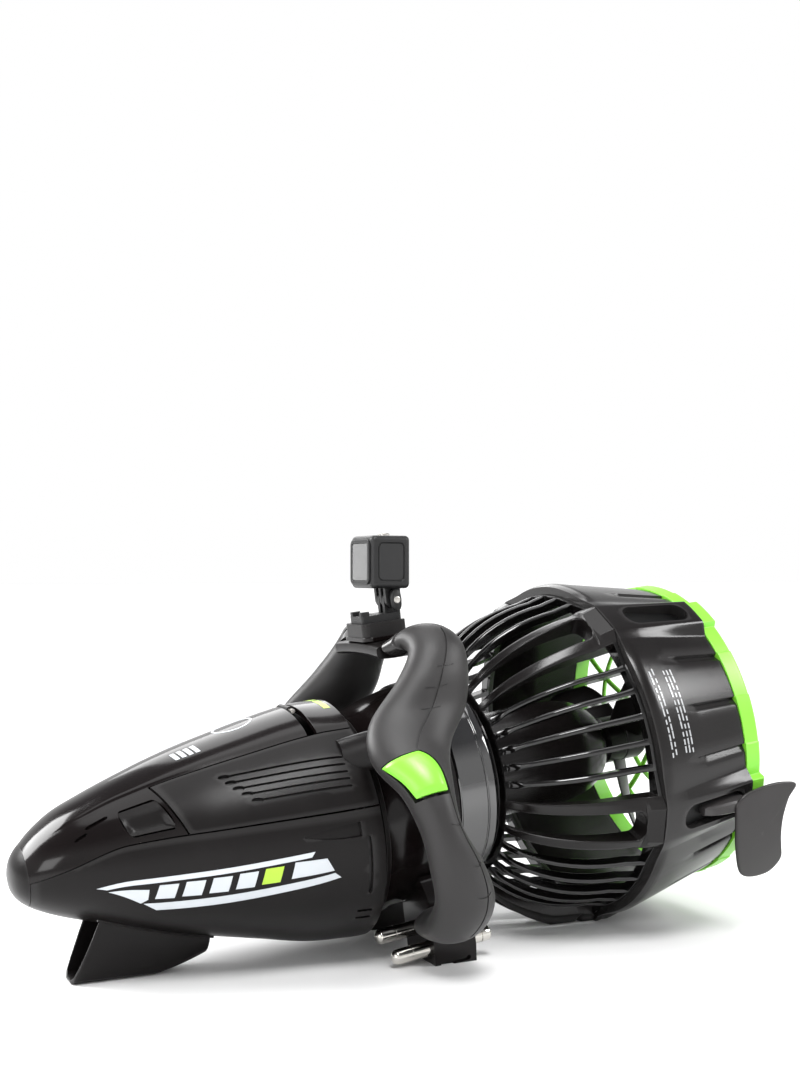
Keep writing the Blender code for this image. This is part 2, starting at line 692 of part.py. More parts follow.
def build_fins():
    """Thin tail fins that plug into the pocket of the lowest arm on each side."""
    for name, side, index in (("port", 1, 1), ("starboard", -1, 4)):
        angle = math.radians(arm_angle(index))
        outward = Vector((0, math.cos(angle), math.sin(angle)))
        down = Vector((0, -side * -math.sin(angle), -abs(math.cos(angle))))
        root = outward * (duct_radius(-78) + ARM_RISE + 2.9)
        rings = []
        for lift in (0.0, 3.2):
            ring = []
            for u, drop in FIN_OUTLINE:
                bow = 0.0016 * (drop - 20) ** 2
                ring.append(tuple(Vector((u, 0, 0)) + root + down * drop
                                  + outward * (lift - bow + 2.0)))
            rings.append(ring)
        fin = finish("tail_fin_" + name, loft(rings), (SOFT_GREY, 0.45, 0.0))
        foot = []
        for u in (-84.0, -42.0):
            wide = 5.5
            ring = []
            for across, reach in ((-wide, -6.7), (wide, -6.7), (wide, 3.5), (-wide, 3.5)):
                base = outward * (duct_radius(u) + ARM_RISE + reach)
                ring.append(tuple(Vector((u, 0, 0)) + base + down * across))
            foot.append(ring)
        cut(fin, finish("fin_foot_" + name, loft(foot), None), "UNION")


# ---- handles -----------------------------------------------------------------------------------
# Centre line of the port grip: (u, v, w, half depth along u, half thickness).
GRIP_PATH = [
    (163, 44, 120, 20, 6.5), (152, 57, 125, 19, 11), (151, 71, 116, 23, 14),
    (162, 80, 97, 32, 16), (182, 88, 70, 42, 16), (196, 105, 46, 30, 17), (200, 127, 22, 21, 18),
    (198, 139, -8, 15.5, 18), (190, 142, -38, 21, 18), (184, 137, -64, 24, 18),
    (184, 121, -84, 25, 16), (185, 102, -90, 23, 14), (186, 88, -92, 20, 12)]
TRIGGER_SPAN = (0.446, 0.522)      # along the grip's path
TRIGGER_ARC = (12.0, 112.0)        # round the grip's section, 0 faces forward, plus is outboard
TRIGGER_MIDDLE = 62.0              # the trigger is pressed along this angle


def grip_point(t, degrees, side, offset=0.0):
    """Point on the skin of a grip, at a share t of its path and an angle round its section."""
    u, v, w, deep, thick = smooth_path(GRIP_PATH, t)
    before = smooth_path(GRIP_PATH, t - 0.01)
    after = smooth_path(GRIP_PATH, t + 0.01)
    along = Vector((0, after[1] - before[1], after[2] - before[2])).normalized()
    out = Vector((0, -along.z, along.y))
    angle = math.radians(degrees)
    point = (Vector((u, v, w)) + Vector((1, 0, 0)) * (deep + offset) * math.cos(angle)
             + out * (thick + offset) * math.sin(angle))
    return Vector((point.x, point.y * side, point.z))


def grip_rings(side, offset=0.0, rows=20, columns=14, start=0.0, end=1.0):
    rings = []
    for i in range(rows + 1):
        t = lerp(start, end, i / rows)
        rings.append([tuple(grip_point(t, 360.0 * k / columns, side, offset))
                      for k in range(columns)])
    return rings


def trigger_patch(side, grow, low, high, foot_grow=0.0):
    """Leaf-shaped block following the grip's front, between two offsets from its skin."""
    rows = 5
    columns = 6
    grids = ([], [])
    low_t, high_t = TRIGGER_SPAN
    for i in range(rows + 1):
        share = i / rows
        t = lerp(low_t - grow * 0.0024, high_t + (grow + foot_grow) * 0.0024, share)
        shoulder = (1 - share) ** 3
        room = grow * (2.0 + 6.0 * share)
        start = TRIGGER_ARC[0] + 20 * share - room
        end = TRIGGER_ARC[1] - 26 * shoulder + room
        for grid, offset in zip(grids, (high, low)):
            grid.append([tuple(grip_point(t, lerp(start, end, j / columns), side, offset))
                         for j in range(columns + 1)])
    return grid_solid(*grids)


def trigger_axis(side):
    """Ends of the trigger's pivot pin, which runs across the grip under the trigger's top."""
    t = TRIGGER_SPAN[0] + 0.016
    middle = grip_point(t, TRIGGER_MIDDLE, side, -3.5)
    across = (grip_point(t, TRIGGER_MIDDLE + 20, side)
              - grip_point(t, TRIGGER_MIDDLE - 20, side)).normalized()
    return middle - across * 11, middle + across * 11


def build_grips():
    for name, side in (("port", 1), ("starboard", -1)):
        grip = finish("grip_" + name, loft(grip_rings(side)), (SOFT_GREY, 0.8, 0.0), smooth=50)
        pocket = finish("pocket_" + name, trigger_patch(side, 1.0, -10.0, 6.0, 1.0), None)
        cut(grip, pocket)
        start, end = trigger_axis(side)
        middle = (start + end) / 2
        bore = finish("pin_bore_" + name,
                      rod_between(start + (start - middle) * 0.1, end + (end - middle) * 0.1, 1.9,
                                  12), None)
        trigger = finish("trigger_" + name, trigger_patch(side, 0.0, -5.0, 2.2),
                         (LIME, 0.35, 0.0), pivot=middle, smooth=50)
        cut(trigger, bore)
        cut(grip, bore)
        finish("trigger_pin_" + name, rod_between(start, end, 1.5, 12), (STEEL, 0.25, 1.0))
        foot = grip_point(TRIGGER_SPAN[1] - 0.02, TRIGGER_MIDDLE, side, -11.5)
        size = Vector((4.0, 6.0, 6.0))
        box = finish("trigger_switch_" + name, block(foot - size / 2, foot + size / 2),
                     (GLOSS_BLACK, 0.5, 0.0))
        room = finish("switch_room_" + name, block(foot - size / 2 - Vector((0.4, 0.4, 0.4)),
                                                   foot + size / 2 + Vector((3.0, 0.4, 0.4))), None)
        cut(grip, room)
        bevel(box, 0.4, 1)


def build_bridge():
    """Rigid bridge across the top, between the two grips, with the accessory shoe on it."""
    rings = []
    for k in range(7):
        v = lerp(-BRIDGE_HALF, BRIDGE_HALF, k / 6)
        arch = 2.0 * (v / BRIDGE_HALF) ** 2
        ring = []
        for j in range(16):
            angle = 2 * math.pi * j / 16
            flat = math.copysign(abs(math.cos(angle)) ** 0.6, math.cos(angle))
            tall = math.copysign(abs(math.sin(angle)) ** 0.45, math.sin(angle))
            ring.append((167 + 23 * flat, v, 120 - arch + 6.0 * tall))
        rings.append(ring)
    finish("handle_bridge", loft(rings), (CHARCOAL, 0.35, 0.0), smooth=50)


def build_shoulders():
    """Fairings that tie the front of each grip to the hull's shoulder."""
    for name, side in (("port", 1), ("starboard", -1)):
        rings = []
        for u, v, w in ((200, 94, 52), (222, 82, 50), (243, 64, 44)):
            ring = []
            for k in range(12):
                angle = 2 * math.pi * k / 12
                ring.append((u, (v + 11 * math.cos(angle)) * side, w + 15 * math.sin(angle)))
            rings.append(ring)
        bracket = finish("shoulder_bracket_" + name, loft(rings), (CHARCOAL, 0.5, 0.0))
        cut(bracket, finish("hull_room_" + name, hull_solid(0.4), None))
        cut(bracket, finish("grip_room_" + name, loft(grip_rings(side, 0.5)), None))


def hull_solid(grow):
    """The rear of the hull as one closed solid, grown a little, for cutting its neighbours."""
    rings = []
    for u in (195, 226, 240, 269, 310):
        centre, high, wide = table(HULL_SECTIONS, u)
        rings.append([(u, (wide + grow) * math.cos(2 * math.pi * k / 32),
                       centre + (high + grow) * math.sin(2 * math.pi * k / 32))
                      for k in range(32)])
    return loft(rings)


def build_ballast():
    """Blocks under the neck that carry the ballast rods and the two side feet."""
    for name, side in (("port", 1), ("starboard", -1)):
        outline = [(36, None), (78, None), (86, -119), (86, -76), (70, -60), (36, -70)]
        rings = []
        for u in (153.0, 190.0):
            rings.append([(u, v * side, floor_w(u) if w is None else w) for v, w in outline])
        holder = finish("ballast_block_" + name, loft(rings), (GLOSS_BLACK, 0.5, 0.0))
        cut(holder, finish("neck_seat_" + name, loft(neck_rings(-0.5)), None))
        for index, (v, w) in enumerate(ROD_PLACES):
            label = "%s_%d" % (name, index + 1)
            centre = (v * side, w)
            bore = finish("rod_bore_" + label,
                          turned([(145, 0), (145, ROD_RADIUS + GAP), (200, ROD_RADIUS + GAP),
                                  (200, 0)], 14, centre), None)
            cut(holder, bore)
            profile = [(ROD_REAR_U, 0), (ROD_REAR_U, ROD_RADIUS - 1.5),
                       (ROD_REAR_U + 1.5, ROD_RADIUS), (ROD_FRONT_U - 5, ROD_RADIUS)]
            for k in range(1, 3):
                angle = math.pi / 2 * k / 2
                profile.append((ROD_FRONT_U - 5 + 5 * math.sin(angle),
                                max(0.0, round(ROD_RADIUS * math.cos(angle), 3))))
            finish("ballast_rod_" + label, turned(profile, 14, centre), (STEEL, 0.15, 1.0),
                   pivot=(ROD_REAR_U, *centre))


ROD_PLACES = ((76, -115.5), (48, -106.0))


# ---- camera accessory --------------------------------------------------------------------------
def build_camera():
    """Action camera on a quick-release buckle; it tilts on a thumbscrew."""
    pivot = Vector(CAMERA_PIVOT)
    base = finish("mount_base", block((149, -20, 126.4), (189, 20, 140)), (CHARCOAL, 0.45, 0.0))
    bevel(base, 2)
    channel = finish("buckle_channel", block((146, -13, 134), (187, 13, 145)), None)
    cut(base, channel)

    foot = block((150, -12.6, 134.4), (186.5, 12.6, 146))
    buckle = finish("quick_release_buckle", foot, (CHARCOAL, 0.5, 0.0), pivot=(150, 0, 134.4))
    bevel(buckle, 1)
    for index, v in enumerate((-4.6, 4.6)):
        prong = finish("buckle_prong_%d" % index, prong_shape(pivot, v, -1), None)
        cut(buckle, prong, "UNION")
    bore = finish("prong_bore", rod_between(pivot + Vector((0, -20, 0)), pivot + Vector((0, 20, 0)),
                                            2.8), None)
    cut(buckle, bore)

    low = Vector((pivot.x - 15, -22, pivot.z + 10))
    high = Vector((pivot.x + 21, 22, pivot.z + 54))
    case = finish("camera_case", block(low, high, REST_PITCH), (CHARCOAL, 0.5, 0.0), pivot=pivot)
    bevel(case, 5, 2)
    for index, v in enumerate((-9.2, 0.0, 9.2)):
        prong = finish("case_prong_%d" % index, prong_shape(pivot, v, 1), None)
        cut(case, prong, "UNION")
    cut(case, bore)
    plate = block((high.x + 0.3 - 0.1, -18.5, low.z + 4), (high.x + 1.6, 18.5, high.z - 4))
    spin = (Matrix.Translation((low + high) / 2)
            @ Matrix.Rotation(math.radians(-REST_PITCH), 4, "Y")
            @ Matrix.Translation(-(low + high) / 2))
    bmesh.ops.transform(plate, verts=plate.verts, matrix=spin)
    finish("lens_plate", plate, ((0.55, 0.56, 0.57), 0.15, 0.0), pivot=pivot)
    button = rod_between((pivot.x, 0, high.z + 0.3), (pivot.x, 0, high.z + 2.3), 5, 20)
    bmesh.ops.transform(button, verts=button.verts, matrix=spin)
    well = rod_between((pivot.x, 0, high.z - BUTTON_WELL), (pivot.x, 0, high.z + 4), 5.4, 20)
    bmesh.ops.transform(well, verts=well.verts, matrix=spin)
    cut(case, finish("button_well", well, None))
    finish("shutter_button", button, (STEEL, 0.3, 1.0), pivot=spin @ Vector((pivot.x, 0, high.z)))

    screw = rod_between(pivot + Vector((0, -13.2, 0)), pivot + Vector((0, 17, 0)), 2.4)
    thumb = finish("thumbscrew", screw, (STEEL, 0.3, 1.0), pivot=pivot)
    knob = finish("screw_knob", block(pivot + Vector((-4, 12.6, -7.5)),
                                      pivot + Vector((4, 18, 7.5))), None)
    cut(thumb, knob, "UNION")
    nut = rod_between(pivot + Vector((0, -17, 0)), pivot + Vector((0, -13.5, 0)), 4.5, 6)
    finish("thumbscrew_nut", nut, (STEEL, 0.3, 1.0), pivot=pivot)


def prong_shape(pivot, v, way):
    """Rounded lug round the tilt axis; way is -1 down to the buckle and 1 up to the case."""
    ring = []
    for k in range(13):
        angle = math.pi * k / 12
        ring.append((math.cos(angle) * 7, -way * math.sin(angle) * 7))
    ring += [(-7, way * 14), (7, way * 14)]
    sides = []
    for across in (v - 2.0, v + 2.0):
        sides.append([(pivot.x + x, across, pivot.z + y) for x, y in ring])
    return loft(sides)


def build():
    global THRUST
    for item in list(bpy.data.objects):
        bpy.data.objects.remove(item, do_unlink=True)
    THRUST = bpy.data.objects.new("thrust_frame", None)
    bpy.context.scene.collection.objects.link(THRUST)
    THRUST.location = (AXIS_X * MM, 0, AXIS_HEIGHT * MM)
    THRUST.rotation_euler = (0, math.radians(REST_PITCH), 0)
    build_hull()
    build_skid()
    build_inside()
    build_drive()
    build_propeller()
    build_duct()
    build_cage()
    build_guard()
    build_fins()
    build_grips()
    build_bridge()
    build_shoulders()
    build_ballast()
    build_camera()


build()
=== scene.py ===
"""Looks of the underwater scooter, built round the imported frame.

Shapes are laid out in the thrust frame, in millimetres: u forward along the thrust axis, v to
port, w up, with the origin at the centre of the duct's front edge.
"""
import json
from math import asin, atan2, copysign, cos, pi, radians, sin, sqrt, tan
from math import degrees as in_degrees

import bmesh
import bpy
from mathutils import Matrix, Vector


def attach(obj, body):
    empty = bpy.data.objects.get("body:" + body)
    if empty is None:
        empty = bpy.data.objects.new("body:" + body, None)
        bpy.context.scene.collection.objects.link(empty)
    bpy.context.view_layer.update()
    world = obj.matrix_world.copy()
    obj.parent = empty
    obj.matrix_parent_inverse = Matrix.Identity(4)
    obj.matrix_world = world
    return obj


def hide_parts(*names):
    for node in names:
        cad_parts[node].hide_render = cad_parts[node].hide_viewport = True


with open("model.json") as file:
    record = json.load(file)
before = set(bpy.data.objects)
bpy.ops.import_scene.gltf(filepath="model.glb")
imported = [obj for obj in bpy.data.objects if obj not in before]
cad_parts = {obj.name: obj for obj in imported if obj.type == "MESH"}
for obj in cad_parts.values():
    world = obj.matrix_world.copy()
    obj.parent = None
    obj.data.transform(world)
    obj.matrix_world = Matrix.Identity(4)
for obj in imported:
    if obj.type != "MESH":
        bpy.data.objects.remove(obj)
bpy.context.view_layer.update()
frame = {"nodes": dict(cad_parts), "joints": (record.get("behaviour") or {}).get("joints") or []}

SPIN = next(j for j in frame["joints"] if j["name"] == "propeller_spin")
PITCH = asin(-SPIN["axis"][2])
TO_WORLD = (Matrix.Translation(SPIN["pos_m"]) @ Matrix.Rotation(PITCH, 4, "Y")
            @ Matrix.Scale(0.001, 4))
AXIS_HEIGHT = SPIN["pos_m"][2] * 1000
SIDES = (("port", 1), ("starboard", -1))


# ---- numbers ----
def lerp(low, high, t):
    return low + (high - low) * t


def clamp(x, low=0.0, high=1.0):
    return max(low, min(high, x))


def smooth_step(x):
    x = clamp(x)
    return x * x * (3 - 2 * x)


def curve(points, x):
    """Smooth interpolation through (x, value...) rows in rising x, without overshoot."""
    if x <= points[0][0]:
        return points[0][1:]
    if x >= points[-1][0]:
        return points[-1][1:]
    i = next(k for k in range(len(points) - 1) if x <= points[k + 1][0])
    a, b = points[i], points[i + 1]
    before = points[i - 1] if i else None
    after = points[i + 2] if i + 2 < len(points) else None
    h = b[0] - a[0]
    t = (x - a[0]) / h
    out = []
    for k in range(1, len(a)):
        slope = (b[k] - a[k]) / h
        m0 = m1 = slope
        if before:
            s = (a[k] - before[k]) / (a[0] - before[0])
            m0 = 0 if s * slope <= 0 else 2 * s * slope / (s + slope)
        if after:
            s = (after[k] - b[k]) / (after[0] - b[0])
            m1 = 0 if s * slope <= 0 else 2 * s * slope / (s + slope)
        out.append((2 * t ** 3 - 3 * t * t + 1) * a[k] + (t ** 3 - 2 * t * t + t) * h * m0
                   + (3 * t * t - 2 * t ** 3) * b[k] + (t ** 3 - t * t) * h * m1)
    return tuple(out)


def path_point(points, t):
    """Catmull-Rom curve through rows of numbers; t runs from 0 to 1 over the whole path."""
    last = len(points) - 1
    at = clamp(t) * last
    i = min(int(at), last - 1)
    x = at - i
    rows = [points[min(max(k, 0), last)] for k in (i - 1, i, i + 1, i + 2)]
    return [0.5 * (2 * b + (c - a) * x + (2 * a - 5 * b + 4 * c - d) * x * x
                   + (3 * b - a - 3 * c + d) * x ** 3) for a, b, c, d in zip(*rows)]


def spread(low, high, count):
    return [lerp(low, high, k / (count - 1)) for k in range(count)]


def rounded_ends(count):
    """Shares from 0 to 1, crowded toward both ends."""
    return [(1 - cos(pi * k / (count - 1))) / 2 for k in range(count)]


def circle(count):
    """Angles evenly spaced round a full turn."""
    return [2 * pi * k / count for k in range(count)]


def quarter(count):
    """Angles from zero up to, but not at, a quarter turn."""
    return [pi / 2 * k / count for k in range(count)]


def floor_w(u):
    return (u * sin(PITCH) - AXIS_HEIGHT) / cos(PITCH)


# ---- materials ----
ROUGH_SPREAD = 0.06
GRAIN_DEPTH = 0.0002


def put(tree, kind, values=(), sources=(), **settings):
    """New node with its settings made, and its inputs set to values or joined to sources."""
    node = tree.nodes.new(kind)
    for key, value in settings.items():
        setattr(node, key, value)
    for socket, value in values:
        node.inputs[socket].default_value = value
    for socket, source in sources:
        tree.links.new(source, node.inputs[socket])
    return node


def ramp(tree, source, *stops):
    """Colour ramp over source, with two (position, colour) stops."""
    node = put(tree, "ShaderNodeValToRGB", (), [("Fac", source)])
    for element, (position, colour) in zip(node.color_ramp.elements, stops):
        element.position = position
        element.color = (*colour, 1)
    return node.outputs["Color"]


def look(name, colour, rough, metal=0.0, coat=0.0, coat_rough=0.05, mottle=0.12, blotch=30.0,
         grain=0.15, grain_scale=1800.0, sheen=0.0, wear=0.0, stretch=(1, 1, 1), shine=0.5):
    """Procedural surface: two tones in slow blotches, worn edges, and fine moulded grain."""
    material = bpy.data.materials.new(name)
    material.use_nodes = True
    tree = material.node_tree
    shader = tree.nodes["Principled BSDF"]
    for socket, value in (("Metallic", metal), ("Coat Weight", coat),
                          ("Coat Roughness", coat_rough), ("Sheen Weight", sheen),
                          ("Specular IOR Level", shine)):
        shader.inputs[socket].default_value = value

    place = put(tree, "ShaderNodeTexCoord")
    mapping = put(tree, "ShaderNodeMapping", [("Scale", stretch)],
                  [("Vector", place.outputs["Object"])])
    slow, fine = [
        put(tree, "ShaderNodeTexNoise", [("Scale", scale), ("Detail", detail), ("Roughness", 0.6)],
            [("Vector", mapping.outputs["Vector"])]).outputs["Fac"]
        for scale, detail in ((blotch, 4.0), (grain_scale, 3.0))]
    tone = ramp(tree, slow, (0.3, [c * (1 - mottle) for c in colour]),
                (0.7, [min(1.0, c * (1 + mottle)) for c in colour]))
    if wear:
        edge = put(tree, "ShaderNodeNewGeometry")
        worn = ramp(tree, edge.outputs["Pointiness"], (0.52, (0, 0, 0)), (0.62, (1, 1, 1)))
        amount = put(tree, "ShaderNodeMath", [(1, wear)], [(0, worn)], operation="MULTIPLY")
        paler = [min(1.0, c * 1.6 + 0.05) for c in colour]
        mix = put(tree, "ShaderNodeMix", [(7, (*paler, 1))],
                  [(0, amount.outputs[0]), (6, tone)], data_type="RGBA")
        tone = mix.outputs[2]
    gloss = put(tree, "ShaderNodeMapRange", [("To Min", max(0.02, rough - ROUGH_SPREAD)),
                                             ("To Max", min(1.0, rough + ROUGH_SPREAD))],
                [("Value", slow)])
    bump = put(tree, "ShaderNodeBump", [("Strength", grain), ("Distance", GRAIN_DEPTH)],
               [("Height", fine)])
    for socket, source in (("Base Color", tone), ("Roughness", gloss.outputs["Result"]),
                           ("Normal", bump.outputs["Normal"])):
        tree.links.new(source, shader.inputs[socket])
    return material


SATIN = look("satin_charcoal", (0.0042, 0.0034, 0.0034), 0.32, grain=0.22, wear=0.2, shine=0.17)
GLOSS = look("gloss_black", (0.0042, 0.0030, 0.0030), 0.13, coat=0.06, grain=0.03, shine=0.20)
CAGE = look("cage_gloss", (0.0024, 0.0021, 0.0021), 0.10, coat=0.3, coat_rough=0.03, grain=0.04,
            shine=0.4)
DRUM = look("drum_gloss", (0.006, 0.006, 0.0065), 0.07, coat=1.0, coat_rough=0.02, grain=0.02,
            shine=0.9)
BAND = look("band_satin", (0.0055, 0.0046, 0.0045), 0.22, coat=0.05, coat_rough=0.2, grain=0.16,
            wear=0.2, shine=0.28)
GRIP = look("grip_rubber", (0.0118, 0.0107, 0.0107), 0.46, grain=0.5, grain_scale=1400,
            sheen=0.04, mottle=0.08, shine=0.4)
CAP = look("grip_cap", (0.016, 0.0150, 0.0150), 0.22, grain=0.1, shine=0.5)
LIME = look("lime_plastic", (0.19, 0.60, 0.034), 0.36, coat=0.1, coat_rough=0.2, mottle=0.04,
            grain=0.2)
# Dark parts, and painted shade where it lies as a dark sheet at the floor of the duct's pockets.
DARK = look("dark_parts_and_painted_shade", (0.002, 0.002, 0.002), 0.5, grain=0.2, shine=0.2)
SEAL = look("seal_rubber", (0.006, 0.006, 0.006), 0.7, grain=0.4, shine=0.3)
STEEL = look("steel", (0.55, 0.53, 0.50), 0.28, metal=1.0, mottle=0.06, grain=0.15,
             stretch=(1, 8, 8))
ROD = look("polished_rod", (0.62, 0.60, 0.56), 0.14, metal=1.0, mottle=0.05, grain=0.1,
           grain_scale=900, stretch=(0.2, 4, 4))
ALLOY = look("cast_alloy", (0.50, 0.50, 0.50), 0.45, metal=1.0, grain=0.5, grain_scale=900)
COPPER = look("copper_winding", (0.72, 0.33, 0.16), 0.35, metal=1.0, grain=0.6,
              grain_scale=700, stretch=(4, 1, 1))
CASE = look("camera_shell", (0.0065, 0.0065, 0.0068), 0.42, grain=0.5, grain_scale=2600, wear=0.25,
            shine=0.35)
DOOR = look("camera_door", (0.0105, 0.0105, 0.0108), 0.5, grain=0.5, grain_scale=2600, shine=0.35)
PLATE = look("camera_plate", (0.12, 0.12, 0.12), 0.20, coat=0.4, coat_rough=0.03, mottle=0.06,
             blotch=60, grain=0.05)
WHITE = look("print_white", (0.50, 0.53, 0.56), 0.32, mottle=0.03, grain=0.1)
PALE = look("label_pale", (0.34, 0.35, 0.36), 0.25, coat=0.3, mottle=0.06, grain=0.1)
YELLOW = look("print_lime", (0.36, 0.57, 0.035), 0.35, mottle=0.04, grain=0.1)
FIN = look("fin_plastic", (0.016, 0.014, 0.014), 0.30, grain=0.25, wear=0.3, shine=0.35)


# ---- building ----
def mesh_from(name, bm):
    mesh = bpy.data.meshes.new(name)
    bm.to_mesh(mesh)
    bm.free()
    return mesh


def add(name, data):
    item = bpy.data.objects.new(name, data)
    bpy.context.scene.collection.objects.link(item)
    return item


def solid(name, bm):
    """Object from a bmesh laid out in the thrust frame."""
    bmesh.ops.recalc_face_normals(bm, faces=bm.faces)
    bmesh.ops.transform(bm, verts=bm.verts, matrix=TO_WORLD)
    return add(name, mesh_from(name, bm))


def apply(item, modifier):
    """Bake a modifier into the mesh at once."""
    graph = bpy.context.evaluated_depsgraph_get()
    mesh = bpy.data.meshes.new_from_object(item.evaluated_get(graph))
    item.modifiers.remove(modifier)
    item.data = mesh


def carve(item, bm, operation="DIFFERENCE"):
    """Boolean applied at once, so no cutter is left behind."""
    tool = solid("cutter", bm)
    boolean = item.modifiers.new("carve", "BOOLEAN")
    boolean.operation = operation
    boolean.solver = "EXACT"
    boolean.object = tool
    apply(item, boolean)
    bpy.data.objects.remove(tool, do_unlink=True)


def bevel(item, width, segments, angle):
    """Modifier that rounds the edges sharper than an angle."""
    edges = item.modifiers.new("rounding", "BEVEL")
    edges.width = width / 1000
    edges.segments = segments
    edges.limit_method = "ANGLE"
    edges.angle_limit = radians(angle)
    return edges


def dress(item, body, material, replaces=(), smooth=38, rounding=0.0, segments=2):
    """Finish a piece: rounded edges, shading, material and body."""
    if rounding:
        bevel(item, rounding, segments, 38)
    item.data.shade_smooth()
    item.data.set_sharp_from_angle(angle=radians(smooth))
    if rounding:
        normals = item.modifiers.new("normals", "WEIGHTED_NORMAL")
        normals.keep_sharp = True
    if not item.data.materials:
        item.data.materials.append(material)
    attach(item, body)
    if replaces:
        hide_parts(*replaces)


def vert_grid(bm, rows):
    return [[bm.verts.new(point) for point in row] for row in rows]


def pairs(count, wrap=True):
    """Each column of a grid with the one after it."""
    return [(j, (j + 1) % count) for j in range(count if wrap else count - 1)]


def quads(bm, near, far, flip=False):
    """Faces between two closed rings of vertices."""
    for j, k in pairs(len(near)):
        quad = (near[j], near[k], far[k], far[j])
        bm.faces.new(quad[::-1] if flip else quad)


def grid_solid(outer, inner, wrap=False):
    """Closed solid between two grids of points."""
    bm = bmesh.new()
    top = vert_grid(bm, outer)
    low = vert_grid(bm, inner)
    columns = pairs(len(outer[0]), wrap)
    for i in range(len(outer) - 1):
        for j, k in columns:
            bm.faces.new((top[i][j], top[i][k], top[i + 1][k], top[i + 1][j]))
            bm.faces.new((low[i][j], low[i + 1][j], low[i + 1][k], low[i][k]))
    for j, k in columns:
        bm.faces.new((top[0][j], low[0][j], low[0][k], top[0][k]))
        bm.faces.new((top[-1][j], top[-1][k], low[-1][k], low[-1][j]))
    if not wrap:
        for i in range(len(outer) - 1):
            bm.faces.new((top[i][0], top[i + 1][0], low[i + 1][0], low[i][0]))
            bm.faces.new((top[i][-1], low[i][-1], low[i + 1][-1], top[i + 1][-1]))
    return bm


def open_grid(outer, inner, is_open, wrap=True):
    """Grid solid in which open cells are holes with walls round them, and its outer faces."""
    bm = bmesh.new()
    top = vert_grid(bm, outer)
    low = vert_grid(bm, inner)
    rows = len(outer) - 1
    count = len(outer[0])
    skin = {}

    def filled(i, j):
        inside = 0 <= i < rows and (wrap or 0 <= j < count - 1)
        return inside and not is_open(i, j % count)

    for i in range(rows):
        for j, k in pairs(count, wrap):
            if not filled(i, j):
                continue
            corners = ((i, j), (i, k), (i + 1, k), (i + 1, j))
            skin[i, j] = bm.faces.new([top[a][b] for a, b in corners])
            bm.faces.new([low[a][b] for a, b in reversed(corners)])
            beside = ((i - 1, j), (i, j + 1), (i + 1, j), (i, j - 1))
            for edge, cell in enumerate(beside):
                if not filled(*cell):
                    (c, d), (e, f) = corners[edge], corners[(edge + 1) % 4]
                    bm.faces.new((top[e][f], top[c][d], low[c][d], low[e][f]))
    bmesh.ops.delete(bm, geom=[v for v in bm.verts if not v.link_faces], context="VERTS")
    return bm, skin


def loft(rings, bm=None):
    """Closed solid skinned over closed rings of equal length, with flat ends."""
    bm = bm or bmesh.new()
    loops = vert_grid(bm, rings)
    for near, far in zip(loops, loops[1:]):
        quads(bm, near, far)
    bm.faces.new(loops[0][::-1])
    bm.faces.new(loops[-1])
    return bm


def turned(profile, segments=96, centre=(0, 0), bm=None):
    """Solid of revolution about the thrust direction from rows of (u, radius); rows that never
    reach the axis are closed into a ring."""
    bm = bm or bmesh.new()
    rings = []
    for u, radius in profile:
        if radius == 0:
            rings.append([bm.verts.new((u, *centre))] * segments)
        else:
            rings.append([bm.verts.new((u, centre[0] + radius * cos(a),
                                        centre[1] + radius * sin(a)))
                          for a in circle(segments)])
    strips = list(zip(rings, rings[1:]))
    if min(radius for _, radius in profile) > 0:
        strips.append((rings[-1], rings[0]))
    for near, far in strips:
        for j, k in pairs(segments):
            # At the axis two corners are one vertex, and the quad becomes a triangle.
            bm.faces.new(list(dict.fromkeys((near[j], near[k], far[k], far[j]))))
    return bm


def line(start, end):
    """Straight path between two (a, b) points."""
    return lambda t: (lerp(start[0], end[0], t), lerp(start[1], end[1], t))


def strip(surface, centre, half, depth, height, stations, across=3, bm=None):
    """Long plug that follows a surface. centre(t) gives (a, b); half(t) is its half width in b;
    surface(a, b, offset) gives a point. It runs from -depth below the skin to +height above."""
    rings = []
    for t in stations:
        a, b = centre(t)
        wide = max(half(t), 1e-4)
        offsets = spread(-wide, wide, across)
        deep = depth(t) if callable(depth) else depth
        rings.append([surface(a, b + x, height) for x in offsets]
                     + [surface(a, b + x, -deep) for x in reversed(offsets)])
    return loft(rings, bm)


def capsule(t, half, round_share):
    """Half width that rounds off over round_share at each end."""
    near = min(t, 1 - t) / round_share
    return half * sqrt(max(0.0, 1 - (1 - clamp(near)) ** 2)) if near < 1 else half


